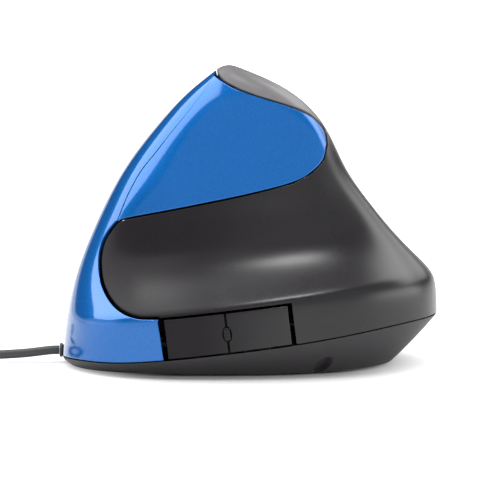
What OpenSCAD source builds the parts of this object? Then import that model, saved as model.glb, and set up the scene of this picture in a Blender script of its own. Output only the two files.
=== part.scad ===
// Vertical ergonomic mouse: a right-hand pyramid body with a thumb scoop, two thumb buttons,
// two finger keys with a scroll wheel between them, and a wired tail with a plug.
// Frame: +X towards the palm end, -Y the thumb side, +Z up, origin under the middle on the desk.

/* [Body] */
// Length from nose to tail
body_length = 105; // [98:1:114]
// Width from the thumb side to the finger side
body_width = 80; // [76:1:88]
// Height of the apex above the desk
body_height = 84; // [80:1:90]
// Rise of the skirt seam towards the tail, per millimetre of length
seam_tilt = 0.118; // [0.1:0.002:0.13]
// Wall thickness of the moulded shells
shell_wall = 2; // [1.6:0.1:2.2]
// Height of the base floor above the glide feet
floor_thick = 2; // [1.6:0.1:2.4]

/* [Gaps] */
// Gap between two fixed shells
shell_gap = 0.4; // [0.3:0.05:0.5]
// Groove round the nose end of the thumb rest
scoop_gap = 0.9; // [0.7:0.05:1.1]
// Gap round the finger keys
key_gap = 0.5; // [0.4:0.05:0.7]
// Gap round the thumb buttons
button_gap = 0.5; // [0.4:0.05:0.7]
// Radial play of a turning or sliding fit
running_fit = 0.05; // [0.03:0.01:0.08]

/* [Wheel and keys] */
// Diameter of the scroll wheel over its tyre
wheel_d = 21; // [19:0.5:22]
// Width of the scroll wheel
wheel_w = 6; // [5:0.5:6.5]
// How far the wheel stands out of the finger face
wheel_proud = 4; // [3:0.25:5]
// Diameter of the steel pins
pin_d = 2; // [1.6:0.1:2.2]
// Lean of the finger face from upright
face_lean = 25; // [22:1:28]

/* [Cord] */
// Diameter of the cord
cord_d = 2.5; // [2.2:0.1:3]
// Middle radius of the cord coil
coil_radius = 16; // [14:0.25:18]

/* [Hidden] */
$fn = 32;

half_l = body_length / 2;
half_w = body_width / 2;
nose_x = -half_l;
apex_x = -0.124 * half_l;
crown = body_height - seam_tilt * (apex_x + half_l);
foot_h = 0.6;
floor_z = foot_h + floor_thick;
boss_z = floor_z + 2;

// Outline of the body seen from the thumb side, as shares of half the length. Each list runs from
// the apex down in equal steps of the root of the depth below it.
front_share = [-0.170, -0.217, -0.295, -0.385, -0.478, -0.581, -0.685,
  -0.775, -0.859, -0.935, -0.983, -1.004, -1.008];
rear_share = [-0.076, -0.004, 0.084, 0.192, 0.299, 0.390, 0.459,
  0.531, 0.651, 0.800, 1.010, 1.260, 1.520];
// Outline seen from the front, as shares of half the width
thumb_share = [-0.060, -0.123, -0.183, -0.240, -0.295, -0.350, -0.412,
  -0.475, -0.505, -0.655, -1.120, -1.700, -2.300];
finger_share = [0.063, 0.130, 0.200, 0.280, 0.365, 0.450, 0.540,
  0.635, 0.735, 0.840, 0.955, 1.075, 1.200];
steps = len(front_share) - 1;
// Squareness of the sections from the apex down to the skirt, 2 being an ellipse
front_square = [2.0, 2.3, 2.7, 2.9, 2.8, 2.6, 2.4];
rear_square = [2.0, 2.3, 2.6, 2.6, 2.4, 2.2, 2.1];
foot_square = [2.8, 2.1];
// How softly the flare turns into the skirt at the tail, the thumb lip and the finger side
tail_turn = 3;
lip_turn = 2;
finger_turn = 3;
// Outline of the underside, as shares of half the length and half the width
foot_reach = [0.84, 0.876, 0.775];

function flip(list) = [for (i = [len(list) - 1:-1:0]) list[i]];
function at(list, i) = list[max(0, min(len(list) - 1, i))];
function unit(v) = v / norm(v);
function control(list, i) = at(list, i) - (at(list, i - 1) - 2 * at(list, i) + at(list, i + 1)) / 6;
// Smooth curve through a list of evenly spaced values, at position w
function curve(list, w) = let (
    i = min(floor(w), len(list) - 2),
    f = w - i,
    g = 1 - f)
  (g * g * g * control(list, i - 1) + (3 * f * f * f - 6 * f * f + 4) * control(list, i)
   + (3 * g * g * g - 6 * g * g + 4) * control(list, i + 1) + f * f * f * control(list, i + 2)) / 6;
function soft_min(a, b, k) = (a + b - sqrt((a - b) * (a - b) + k * k)) / 2;

side_line = concat(flip(front_share), [apex_x / half_l], rear_share);
front_line = concat(flip(thumb_share), [0], finger_share);
middle = len(front_share);
function depth_share(h) = sqrt(max(0, 1 - h / crown));
function front_reach(p) = apex_x - half_l * curve(side_line, middle - steps * p);
function rear_reach(p) = soft_min(half_l * curve(side_line, middle + steps * p),
  half_l + 0.06 * tail_turn, tail_turn) - apex_x;
function thumb_reach(p) = soft_min(-half_w * curve(front_line, middle - steps * p), half_w, lip_turn);
function finger_reach(p) = soft_min(half_w * curve(front_line, middle + steps * p),
  half_w + 0.3 * finger_turn, finger_turn);
function square_at(list, p) = curve(list, p * (len(list) - 1));
function ring(u, n) = pow(pow(abs(cos(u)), n) + pow(abs(sin(u)), n), -1 / n);

// Point of the outer surface at angle u round the apex (0 tail, 90 finger side, 180 nose,
// 270 thumb side) and height h above the tilted plane through the foot of the nose
function plan(u, h) = let (
    p = depth_share(h),
    front = cos(u) < 0,
    q = ring(u, square_at(front ? front_square : rear_square, p)))
  [apex_x + (front ? front_reach(p) : rear_reach(p)) * cos(u) * q,
   (sin(u) < 0 ? thumb_reach(p) : finger_reach(p)) * sin(u) * q];
function lifted(xy, h) = [xy[0], xy[1], h + seam_tilt * (xy[0] + half_l)];
function skin(u, h) = lifted(plan(u, h), h);
// Angle at which the section at height h passes x on one side of the body, -1 thumb or 1 finger
function angle_at(x, h, side) = let (
    p = depth_share(h),
    front = x < apex_x,
    n = square_at(front ? front_square : rear_square, p),
    c = max(-1, min(1, (x - apex_x) / (front ? front_reach(p) : rear_reach(p)))))
  (360 + side * atan2(pow(1 - pow(abs(c), n), 1 / n), c)) % 360;
function normal(u, h) = let (e = 0.4, d = 0.15)
  unit(cross(skin(u + e, h) - skin(u - e, h), skin(u, min(crown - 0.01, h + d)) - skin(u, h - d)));
// Direction of the walls: the normal with less lean along the length, so keys can sink straight in
function wall_direction(u, h) = let (n = normal(u, h)) unit([n[0] * n[0] * n[0], n[1], n[2]]);
function inner(u, h, depth) = skin(u, h) - depth * wall_direction(u, h);

// Height at which the ridge line of the tail passes x
function tail_h(x, low = 5, high = 70, n = 24) = let (mid = (low + high) / 2)
  n == 0 ? mid : skin(0, mid)[0] > x ? tail_h(x, mid, high, n - 1) : tail_h(x, low, mid, n - 1);

// Places on the body are x and height for a body 105 long and 84 high, and grow with it
place = [half_l / 52.5, crown / 78.573];
function placed(q) = [q[0] * place[0], q[1] * place[1]];
function thumb_skin(q) = let (s = placed(q)) skin(angle_at(s[0], s[1], -1), s[1]);
function finger_skin(q) = let (s = placed(q)) skin(angle_at(s[0], s[1], 1), s[1]);
function on_thumb(list) = [for (q = list) let (s = placed(q)) [angle_at(s[0], s[1], -1), s[1]]];
function on_finger(list) = [for (q = list) let (s = placed(q)) [angle_at(s[0], s[1], 1), s[1]]];
function aside(list, d) = [for (i = [0:len(list) - 1])
  let (v = unit(at(list, i + 1) - at(list, i - 1))) list[i] + d * [-v[1], v[0]]];
// Smooth path through a few points, sampled at n + 1 places
function path_at(points, t) = let (
    w = t * (len(points) - 1),
    i = min(floor(w), len(points) - 2),
    f = w - i,
    a = at(points, i - 1),
    b = points[i],
    c = points[i + 1],
    d = at(points, i + 2))
  b + f * ((c - a) / 2 + f * ((2 * a - 5 * b + 4 * c - d) / 2 + f * (3 * b - a - 3 * c + d) / 2));
function sample(points, n) = [for (j = [0:n]) path_at(points, j / n)];
function joined(a, b) = concat(a, [for (j = [1:len(b) - 1]) b[j]]);
function to_disc(q) = depth_share(q[1]) * [cos(q[0]), sin(q[0])];
function from_disc(d) = [atan2(d[1], d[0]), crown * (1 - d * d)];
function ruled(a, b, n) = [for (i = [0:n]) [for (j = [0:len(a) - 1]) a[j] + (b[j] - a[j]) * i / n]];
function ruled_disc(a, b, n) = [for (i = [0:n]) [for (j = [0:len(a) - 1])
  from_disc(to_disc(a[j]) + (to_disc(b[j]) - to_disc(a[j])) * i / n)]];

function quad(a, b, c, d) = [[a, b, c], [a, c, d]];
// Closed shell over rows of places: the outer skin, the same rows one wall further in, and the rim
module shell(rows, depth) {
  m = len(rows);
  n = len(rows[0]);
  k = m * n;
  points = concat([for (r = rows) for (q = r) skin(q[0], q[1])],
    [for (r = rows) for (q = r) inner(q[0], q[1], depth)]);
  faces = concat(
    [for (i = [0:m - 2]) for (j = [0:n - 2]) let (a = i * n + j) each quad(a, a + n, a + n + 1, a + 1)],
    [for (i = [0:m - 2]) for (j = [0:n - 2]) let (a = k + i * n + j) each quad(a, a + 1, a + n + 1, a + n)],
    [for (j = [0:n - 2]) each quad(j, j + 1, k + j + 1, k + j)],
    [for (j = [0:n - 2]) let (a = k - n + j) each quad(a, a + k, a + k + 1, a + 1)],
    [for (i = [0:m - 2]) let (a = i * n) each quad(a, a + k, a + k + n, a + n)],
    [for (i = [0:m - 2]) let (a = i * n + n - 1) each quad(a, a + n, a + k + n, a + k)]);
  polyhedron(points, faces);
}
// Solid of rings of points, closed by a middle point at each end
module ringed(rings, first, last) {
  n = len(rings[0]);
  m = len(rings);
  points = concat([for (r = rings) each r], [first, last]);
  faces = concat(
    [for (i = [0:m - 2]) for (j = [0:n - 1])
      let (a = i * n + j, b = i * n + (j + 1) % n) each quad(a, b, b + n, a + n)],
    [for (j = [0:n - 1]) [m * n, (j + 1) % n, j]],
    [for (j = [0:n - 1]) [m * n + 1, (m - 1) * n + j, (m - 1) * n + (j + 1) % n]]);
  polyhedron(points, faces);
}
// Round flexible line swept along a path of points
module swept(path, d, sides) {
  n = len(path);
  function dir(i) = unit(at(path, i + 1) - at(path, i - 1));
  function across(i) = unit(cross(dir(i), abs(dir(i)[2]) > 0.8 ? [1, 0, 0] : [0, 0, 1]));
  rings = [for (i = [0:n - 1]) let (s = across(i), t = cross(dir(i), s))
    [for (k = [0:sides - 1]) path[i] + d / 2 * (cos(360 * k / sides) * s - sin(360 * k / sides) * t)]];
  ringed(rings, path[0], path[n - 1]);
}
module rod(a, b, d) {
  v = b - a;
  translate(a) rotate([0, acos(v[2] / norm(v)), atan2(v[1], v[0])]) cylinder(d = d, h = norm(v));
}
module bar(a, b) translate(a) cube(b - a);

// Edges between the shells, as x and height
panel_low = [[-37, 40.2], [-30, 41.2], [-14, 43], [0, 44.3], [12, 45.8], [18, 48.3], [21, 53.5]];
panel_top = [[-10.6, 75.8], [-7, 73.9], [-2.4, 71.2], [10, 65.9], [16.5, 61.2], [20, 57.5], [21, 53.5]];
seam_line = [[-37, 40.2], [-34.5, 46.5], [-31, 52.7], [-27.3, 56.8], [-22.9, 61.7], [-16.7, 68],
  [-12.6, 72.8], [-10.6, 75.8]];
finger_seam = concat([[-36.2, 42]], [for (i = [1:len(seam_line) - 1]) seam_line[i]]);
scoop_line = [[-37.2, 40], [-39.8, 37.3], [-41.5, 33.8], [-42.1, 29], [-41.1, 23], [-37.7, 17.7],
  [-32, 14.4], [-25.4, 13.6]];
lip_line = [[-25.4, 13.6], [-8, 13.7], [11.4, 14]];
seam_low = 2.15;
base_top = 1.85 * place[1];
split_line = [[-37, 41.3], [14, 45.4]];
key_foot = 22;
key_nose = -36;
rest_tail = 18;
function split_at(x) = let (a = split_line[0], b = split_line[1])
  a[1] + (b[1] - a[1]) * (x - a[0]) / (b[0] - a[0]);

// Finger face frame: origin on the skin at the wheel, Y out of the face, Z up along it
wheel_x = -15.75;
wheel_h = split_at(wheel_x);
face_origin = finger_skin([wheel_x, wheel_h]);
module on_face() translate(face_origin) rotate([face_lean, 0, 0]) children();
function to_face(p) = let (d = p - face_origin)
  [d[0], d[1] * cos(face_lean) + d[2] * sin(face_lean), d[2] * cos(face_lean) - d[1] * sin(face_lean)];
function face_at(q) = to_face(finger_skin(q));
function face_under(q) = to_face(thumb_skin(q));
// Depths in the finger face frame
axle_y = wheel_proud - wheel_d / 2;
wheel_clear = 1;
plate_y = wheel_proud - wheel_d - wheel_clear;
plate_t = 2;
board_y = plate_y + 4;
board_t = 1.2;
hinge = [27.75 * place[0], -8];
pivot = [wheel_d / 2 + 4.5, board_y + 5];
plunger_y = board_y + 6.5 + 0.8;
rib_gap = 0.08;
switch_x = 4;
left_place = [-11.75, 56];
right_place = [-11.75, 30.5];
left_z = face_at(left_place)[2];
right_z = face_at(right_place)[2];
click_x = -wheel_d / 2 - 2.9;
arm_in = wheel_w / 2 + 0.4;
arm_t = 1.5;
slot_x = wheel_d / 2 + 2.2;
function notch(x) = let (c = (x - wheel_x) * place[0] / slot_x) abs(c) < 1 ? 4.5 * sqrt(1 - pow(c, 8)) : 0;

// Thumb button frame: origin on the skin between the buttons, X along the seam, Y into the body
nub_place = [-6.4, 7.6];
nub_origin = thumb_skin(nub_place);
module on_thumb_face() translate(nub_origin) rotate([0, -atan(seam_tilt), 0]) children();
stem_x = 8.6;
stem_d = 4;
guide_y = 4.6;
tact_y = 8.5;
side_board_y = 12;
bracket_foot = [nub_origin[0], nub_origin[1] + 16];

panel_pegs = [[-17, 48.5], [4, 49.5]];

// Screws and their bosses
screw_d = 2.2;
head_d = 4.4;
head_h = 1.6;
boss_d = 7;
rear_boss = [0.56 * half_l, 0];
nose_boss = [-0.82 * half_l, 13];
frame_feet = [for (x = [-24, 16]) [x * place[0], 20.5]];
screws = [rear_boss, nose_boss, frame_feet[0], frame_feet[1], bracket_foot];

// Main board, which lies beside the foot of the thumb bracket, and the sensor under it
board_gap = 0.9;
board_x = [nose_x + 22.5, rear_boss[0] - 5.4];
board_w = [bracket_foot[1] + (boss_d - 1) / 2 + board_gap, 12];
main_z = 7;
sensor_at = [-4, (board_w[0] + board_w[1]) / 2];
post_in = 4;
posts = [for (x = [board_x[0] + post_in, board_x[1] - post_in])
  for (y = [board_w[0] + post_in, board_w[1] - post_in]) [x, y]];

cord_z = 3.5;
coil_wide = 10;
coil_low = 0.8;
coil_lane = coil_radius + (coil_wide - cord_d) / 2;
coil_at = [nose_x - 42.5, coil_lane];

// Small round recess in the side of the base
recess_at = [20.2 * place[0], -0.705 * half_w, 3.1];
recess_turn = 32;
recess_deep = 1.4;
recess_d = 4.6;

module base_tray() {
  n = 56;
  function foot(u, inset) = let (f = cos(u) < 0, q = ring(u, foot_square[f ? 0 : 1]))
    [apex_x + ((f ? foot_reach[0] : foot_reach[1]) * half_l - inset) * cos(u) * q,
     (foot_reach[2] * half_w - inset) * sin(u) * q];
  function inset(u, d) = let (
      t = unit(plan(u + 0.5, base_top) - plan(u - 0.5, base_top)))
    plan(u, base_top) - d * [t[1], -t[0]];
  turns = [for (j = [n - 1:-1:0]) 360 * j / n];
  function swell(u) = ([each foot(u, 0), foot_h + 0.5] + skin(u, base_top)) / 2
    + [0.5 * cos(u), 0.5 * sin(u), -0.2];
  rings = [
    [for (u = turns) [each foot(u, 0.8), foot_h]],
    [for (u = turns) [each foot(u, 0), foot_h + 0.5]],
    [for (u = turns) swell(u)],
    [for (u = turns) skin(u, base_top)],
    [for (u = turns) lifted(inset(u, shell_wall + 0.9), base_top - 0.3)],
    [for (u = turns) [each foot(u, 3.4), floor_z]]];
  color([0.2, 0.19, 0.2]) difference() {
    union() {
      ringed(rings, [apex_x, 0, foot_h], [apex_x, 0, floor_z]);
      for (s = screws) translate([s[0], s[1], foot_h + 0.1])
        cylinder(d = boss_d + 1, h = boss_z - foot_h - 0.1);
      for (s = posts) translate([s[0], s[1], floor_z - 0.5]) cylinder(d = 5, h = main_z - floor_z + 0.5);
    }
    for (s = screws) translate([s[0], s[1], 0]) {
      cylinder(d = screw_d + 0.4, h = boss_z + 1);
      cylinder(d = head_d + 0.6, h = boss_z - head_h);
    }
    for (s = posts) translate([s[0], s[1], floor_z]) cylinder(d = 1.8, h = main_z);
    translate([sensor_at[0] - 5, sensor_at[1] - 3.5, 0]) cube([10, 7, floor_z + 1]);
    glide_recess();
    translate([nose_x - 1, 0, cord_z]) rotate([0, 90, 0]) cylinder(d = cord_d + 0.9, h = 12);
    translate(recess_at) rotate([90, 0, recess_turn]) translate([0, 0, -recess_deep])
      cylinder(d = recess_d, h = recess_deep + 12);
  }
}
module pad(w, l, h) {
  translate([-w / 2, -l / 2, 0]) cube([w, l, h]);
  for (s = [-1, 1]) translate([0, s * l / 2, 0]) cylinder(d = w, h = h);
}
module glide_recess() translate([0, 0, foot_h - 1]) {
  translate([-0.85 * half_l + 8, 0, 0]) pad(7.2, 18, 1.3);
  translate([0.4 * half_l, 0, 0]) pad(7.2, 18, 1.3);
}
module glide_feet() color([0.13, 0.13, 0.14]) {
  translate([-0.85 * half_l + 8, 0, 0]) pad(7, 18, foot_h + 0.3);
  translate([0.4 * half_l, 0, 0]) pad(7, 18, foot_h + 0.3);
}
module case_screw() difference() {
  union() {
    cylinder(d = head_d, h = head_h);
    cylinder(d = screw_d, h = head_h + 8);
  }
  translate([-1.5, -0.3, -0.1]) cube([3, 0.6, 0.8]);
  translate([-0.3, -1.5, -0.1]) cube([0.6, 3, 0.8]);
}
module base_screws() color("silver")
  for (s = screws) translate([s[0], s[1], boss_z - 2 * head_h]) case_screw();
module screw_column(s, top) translate([s[0], s[1], boss_z]) difference() {
  cylinder(d = boss_d - 1, h = top - boss_z);
  translate([0, 0, -0.1]) cylinder(d = screw_d, h = 9);
}

module thumb_panel() {
  low = sample(panel_low, 30);
  high = joined(sample(seam_line, 14), sample(panel_top, 16));
  color("royalblue") union() {
    shell([for (r = ruled(low, high, 8)) on_thumb(r)], shell_wall);
    for (q = panel_pegs) let (f = face_under(q)) on_face()
      translate([f[0], f[1] + 2.6, f[2]]) rotate([-90, 0, 0])
        cylinder(d = 4, h = plate_y - plate_t - f[1] - 2.6);
  }
}
module front_cover() {
  left = joined(on_thumb(sample([[-24, seam_low], [-24.8, 8], [-25.6, 13.2]], 4)),
    joined(on_thumb(sample(flip(aside(scoop_line, -scoop_gap / 2)), 14)),
      on_thumb(sample(aside(seam_line, shell_gap), 12))));
  key_side = [[key_nose - 1.5, seam_low], [key_nose - 1, key_foot - 2], [key_nose - 0.3 - key_gap, 41.7]];
  right = joined(on_finger(sample(key_side, 18)), on_finger(sample(aside(finger_seam, key_gap), 12)));
  color("royalblue") difference() {
    union() {
      shell(ruled(left, right, 12), shell_wall);
      screw_column(nose_boss, boss_z + 12);
      bar([nose_x + 2.4, nose_boss[1] - 1, boss_z + 2], [nose_boss[0] - 2.5, nose_boss[1] + 1, boss_z + 11]);
    }
    translate([nose_x - 2, 0, cord_z]) rotate([0, 90, 0]) cylinder(d = cord_d + 0.8, h = 6);
    bar([nose_x - 2, -cord_d / 2 - 0.4, cord_z - 4], [nose_x + 4, cord_d / 2 + 0.4, cord_z]);
  }
}
module rear_shell() {
  low = aside(panel_low, -shell_gap - 0.1);
  top = flip(aside(panel_top, shell_gap + 0.1));
  finger_top = aside(panel_top, key_gap);
  tip = [180, 76.4 * place[1]];
  lip_end = [[11.4, 14], [12.1, 8], [12.8, seam_low]];
  key_tail = [[rest_tail, seam_low], [rest_tail, 14], [17, 30], [17.5, 42], [20, 47.5], [21.5, 53.5]];
  from = on_thumb([lip_end[2]])[0][0];
  to = 360 + on_finger([key_tail[0]])[0][0];
  outer = joined(on_thumb(sample(aside(scoop_line, scoop_gap / 2), 14)),
    joined(on_thumb(sample(lip_line, 12)),
    joined(on_thumb(sample(lip_end, 4)),
    joined([for (j = [0:20]) [from + (to - from) * j / 20, seam_low * place[1]]],
    joined(on_finger(sample(key_tail, 14)),
      sample(concat(on_finger(flip(finger_top)), [tip]), 16))))));
  inner_edge = joined(on_thumb(sample([for (i = [0:2]) low[i]], 14)),
    joined(on_thumb(sample([for (i = [2:4]) low[i]], 12)),
    joined(on_thumb(sample([low[4], (low[4] + low[5]) / 2], 4)),
    joined(on_thumb(sample([(low[4] + low[5]) / 2, low[5], low[6]], 20)),
    joined(on_thumb(sample([top[0], top[1], top[2]], 14)),
      sample(concat(on_thumb([for (i = [2:6]) top[i]]), [tip]), 16))))));
  color([0.21, 0.2, 0.21]) union() {
    shell(ruled_disc(outer, inner_edge, 10), shell_wall);
    screw_column(rear_boss, skin(0, tail_h(rear_boss[0] + boss_d / 2 - 0.5))[2] - 0.8);
  }
}
module finger_rest() {
  top = key_foot - key_gap;
  low = sample([[key_nose - 1.1, seam_low], [-10, seam_low], [rest_tail - 0.5, seam_low]], 20);
  high = sample([[key_nose - 0.5, top], [-10, top], [rest_tail - 1, top]], 20);
  color([0.21, 0.2, 0.21]) union() {
    shell([for (r = ruled(high, low, 6)) on_finger(r)], shell_wall);
    for (q = [[-18, 19], [6, 19]]) let (f = face_at(q)) on_face()
      translate([f[0], plate_y, f[2]]) rotate([-90, 0, 0]) cylinder(d = 4, h = f[1] - 0.9 - plate_y);
  }
}
module key_ear(q) let (f = face_at(q)) on_face() translate([hinge[0], hinge[1], f[2]]) {
  translate([0, 0, -2]) cylinder(d = 5, h = 4);
  translate([-1.5, 0, -2]) cube([3, f[1] - 0.8 - hinge[1], 4]);
}
module key_rib(q, z) let (f = face_at(q)) on_face()
  translate([f[0], plunger_y + rib_gap, z]) rotate([-90, 0, 0])
    cylinder(d = 3, h = f[1] - 0.8 - plunger_y - rib_gap);
module hinge_bore() on_face() translate([hinge[0], hinge[1], -40])
  cylinder(d = pin_d + 2 * running_fit, h = 80);
module left_key() {
  xs = [for (j = [1:34]) -36.2 + 48.2 * j / 34];
  low = joined(concat([finger_seam[0]], [for (x = xs) [x, split_at(x) + key_gap / 2 + notch(x)]]),
    sample([[12, split_at(12) + key_gap / 2], [17.5, 48.3], panel_top[6]], 6));
  high = joined(sample(finger_seam, 20), sample(panel_top, 20));
  color("royalblue") difference() {
    union() {
      shell([for (r = ruled(high, low, 8)) on_finger(r)], shell_wall);
      key_ear([12, 50]);
      key_ear([12, 57]);
      key_rib(left_place, left_z);
    }
    hinge_bore();
  }
}
module right_key() {
  xs = [for (j = [0:34]) key_nose + (15.5 - key_nose) * j / 34];
  high = [for (x = xs) [x, split_at(x) - key_gap / 2 - notch(x)]];
  low = [for (x = xs) [x, key_foot]];
  color("royalblue") difference() {
    union() {
      shell([for (r = ruled(high, low, 6)) on_finger(r)], shell_wall);
      key_ear([12, 27]);
      key_ear([12, 34]);
      key_rib(right_place, right_z);
    }
    hinge_bore();
  }
}
hinge_low = face_at([12, 23])[2] - 3.5;
hinge_high = face_at([12, 60])[2] + 2;
module key_hinge_pin() color("silver") on_face() translate([hinge[0], hinge[1], hinge_low])
  cylinder(d = pin_d, h = hinge_high - hinge_low);

frame_x = [-18, 33 * place[0]];
frame_low = to_face([0, frame_feet[0][1], 13])[2];
frame_top = face_under(panel_pegs[0])[2] + 3;
module hinge_post(z) translate([0, 0, z - 1.5]) {
  translate([hinge[0], hinge[1], 0]) cylinder(d = 5, h = 3);
  translate([hinge[0] - 2.5, plate_y - 1, 0]) cube([5, hinge[1] - plate_y + 1, 3]);
}
module pivot_post(z) translate([0, 0, z - 1.25]) {
  translate([pivot[0], pivot[1], 0]) cylinder(d = 4.6, h = 2.5);
  translate([pivot[0] - 2.3, plate_y - 1, 0]) cube([4.6, pivot[1] - plate_y + 1, 2.5]);
}
board_end = pivot[0] - 3;
board_low = right_z - 7.8;
board_high = left_z + 6.3;
board_holes = [[-15, board_low + 3], [-4, board_high - 2.5],
  [board_end - 3, right_z + 5.2], [board_end - 3, left_z - 6.7]];
frame_foot_top = face_origin[2] + board_y * sin(face_lean) + board_low * cos(face_lean) - 2.4;
module key_frame() {
  color([0.3, 0.3, 0.32]) difference() {
    union() {
      on_face() {
        bar([frame_x[0], plate_y - plate_t, frame_low], [frame_x[1], plate_y, 8]);
        bar([-7, plate_y - plate_t, 7], [frame_x[1], plate_y, frame_top]);
        for (z = [hinge_low + 1.7, 3.5, hinge_high - 1.7]) hinge_post(z);
        for (s = [-1, 1]) pivot_post(s * (arm_in + arm_t + 1.75));
        for (q = board_holes) translate([q[0], plate_y - 0.5, q[1]]) rotate([-90, 0, 0])
          cylinder(d = 4.6, h = board_y - board_t - plate_y + 0.5);
      }
      for (s = frame_feet) screw_column(s, frame_foot_top);
    }
    on_face() {
      translate([hinge[0], hinge[1], -60]) cylinder(d = pin_d, h = 120);
      translate([pivot[0], pivot[1], -30]) cylinder(d = pin_d, h = 60);
      for (q = board_holes) translate([q[0], plate_y, q[1]]) rotate([-90, 0, 0]) cylinder(d = 1.8, h = 10);
    }
    for (s = frame_feet) translate([s[0], s[1], boss_z - 0.1]) cylinder(d = screw_d, h = 9);
  }
}
module key_board() color("seagreen") on_face() difference() {
  union() {
    bar([-18, board_y - board_t, board_low], [board_end, board_y, 7]);
    bar([-7, board_y - board_t, 6], [board_end, board_y, board_high]);
  }
  translate([-slot_x, board_y - 3, -wheel_w / 2 - 0.8]) cube([2 * slot_x, 6, wheel_w + 1.6]);
  for (q = board_holes) translate([q[0], board_y - 3, q[1]]) rotate([-90, 0, 0]) cylinder(d = 2.2, h = 6);
}
module key_board_screws() color("silver") on_face() for (q = board_holes) translate([q[0], board_y, q[1]]) {
  rotate([90, 0, 0]) cylinder(d = 1.8, h = 3.8);
  rotate([-90, 0, 0]) cylinder(d = 3.6, h = 1.2);
}
module switch_case(z) color([0.12, 0.12, 0.13]) on_face() difference() {
  translate([switch_x - 6.4, board_y, z - 2.9]) cube([12.8, 6.5, 5.8]);
  translate([switch_x - 1.35, board_y + 4, z - 0.85]) cube([2.7, 4, 1.7]);
  for (s = [-1, 1]) translate([switch_x + s * 3.25, board_y + 1.5, z - 4]) cylinder(d = 2, h = 8);
}
module switch_plunger(z) color("firebrick") on_face()
  translate([switch_x - 1.3, board_y + 4.9, z - 0.8]) cube([2.6, plunger_y - board_y - 4.9, 1.6]);
module left_switch_case() switch_case(left_z);
module right_switch_case() switch_case(right_z);
module left_switch_plunger() switch_plunger(left_z);
module right_switch_plunger() switch_plunger(right_z);

module wheel_cradle() color([0.25, 0.25, 0.27]) on_face() difference() {
  union() {
    for (s = [-1, 1]) translate([0, 0, s > 0 ? arm_in : -arm_in - arm_t]) {
      translate([click_x - 1.2, pivot[1] - 1.2, 0]) cube([pivot[0] - click_x + 1.2, 2.4, arm_t]);
      translate([pivot[0], pivot[1], 0]) cylinder(d = 4.4, h = arm_t);
      translate([0, axle_y, 0]) cylinder(d = 4.6, h = arm_t);
      translate([-2.3, pivot[1] - 1.2, 0]) cube([4.6, axle_y - pivot[1] + 1.2, arm_t]);
    }
    translate([click_x - 1.2, pivot[1] - 0.6, -arm_in - 0.5]) cube([2.6, 1.8, 2 * arm_in + 1]);
    translate([pivot[0] - 2.8, pivot[1] - 1.2, -arm_in - 0.5]) cube([1.4, 2.4, 2 * arm_in + 1]);
  }
  translate([pivot[0], pivot[1], -20]) cylinder(d = pin_d + 2 * running_fit, h = 40);
  translate([0, axle_y, -20]) cylinder(d = pin_d + 2 * running_fit, h = 40);
}
module cradle_pin() color("silver") on_face() translate([pivot[0], pivot[1], -arm_in - arm_t - 3])
  cylinder(d = pin_d, h = 2 * (arm_in + arm_t + 3));
module scroll_wheel() color([0.15, 0.15, 0.16]) on_face() translate([0, axle_y, -wheel_w / 2]) difference() {
  cylinder(r = wheel_d / 2 - 2, h = wheel_w, $fn = 64);
  translate([0, 0, -1]) cylinder(d = pin_d, h = wheel_w + 2);
  for (k = [0:11]) rotate([0, 0, 30 * k]) translate([4.6, -0.8, -1]) cube([2.6, 1.6, wheel_w + 2]);
}
module wheel_tyre() color([0.3, 0.3, 0.31]) on_face() translate([0, axle_y, -wheel_w / 2]) difference() {
  cylinder(r = wheel_d / 2, h = wheel_w, $fn = 64);
  translate([0, 0, -1]) cylinder(r = wheel_d / 2 - 2, h = wheel_w + 2, $fn = 64);
  for (k = [0:23]) rotate([0, 0, 15 * k]) translate([wheel_d / 2 - 0.5, -0.5, -1]) cube([2, 1, wheel_w + 2]);
}
module wheel_axle() color("silver") on_face() translate([0, axle_y, -arm_in - arm_t - 0.4])
  cylinder(d = pin_d, h = 2 * (arm_in + arm_t + 0.4));
click_top = pivot[1] - 0.6 - rib_gap;
module click_switch_case() color([0.1, 0.1, 0.1]) on_face() difference() {
  translate([click_x - 3.5, board_y, -3]) cube([6, click_top - 0.9 - board_y, 6]);
  translate([click_x - 0.6, board_y + 1, 0]) rotate([-90, 0, 0]) cylinder(d = 3.4 + 2 * running_fit, h = 8);
}
module click_switch_plunger() color([0.85, 0.85, 0.8]) on_face()
  translate([click_x - 0.6, board_y + 1.9, 0]) rotate([-90, 0, 0])
    cylinder(d = 3.4, h = click_top - board_y - 1.9);
module opto(s) on_face() translate([-2.2, board_y, s > 0 ? arm_in + arm_t + 1.2 : -arm_in - arm_t - 3.6]) {
  cube([4.4, 4.6, 2.4]);
  translate([2.2, 2.6, s > 0 ? -0.6 : 2.4]) cylinder(d = 1.8, h = 0.6);
}
module wheel_light_emitter() color([0.75, 0.8, 0.85]) opto(1);
module wheel_light_detector() color([0.1, 0.1, 0.12]) opto(-1);

function button_rows(x0, x1, side) = let (
    hs = [for (j = [0:5]) 2.35 + (13.1 - 2.35) * j / 5],
    xs = [for (i = [0:8]) i / 8])
  [for (h = hs) on_thumb([for (f = xs) let (
      lean = (13.1 - h) * seam_tilt,
      c = (h - nub_place[1]) / 2.3,
      bite = abs(c) < 1 ? 1.35 * sqrt(1 - c * c) : 0,
      a = x0 + lean + (side > 0 ? bite : 0),
      b = x1 + lean - (side < 0 ? bite : 0)) [a + (b - a) * f, h]])];
module thumb_button(x0, x1, side) {
  color([0.2, 0.19, 0.2]) union() {
    shell(button_rows(x0, x1, side), shell_wall);
    on_thumb_face() translate([side * stem_x, 1.2 + (side > 0 ? 0.2 : 0.9), 0]) rotate([-90, 0, 0])
      cylinder(d = stem_d, h = tact_y - 0.8 - rib_gap - 1.2 - (side > 0 ? 0.2 : 0.9));
  }
}
module forward_button() thumb_button(-23.6, -7.05 - button_gap / 2, -1);
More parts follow.
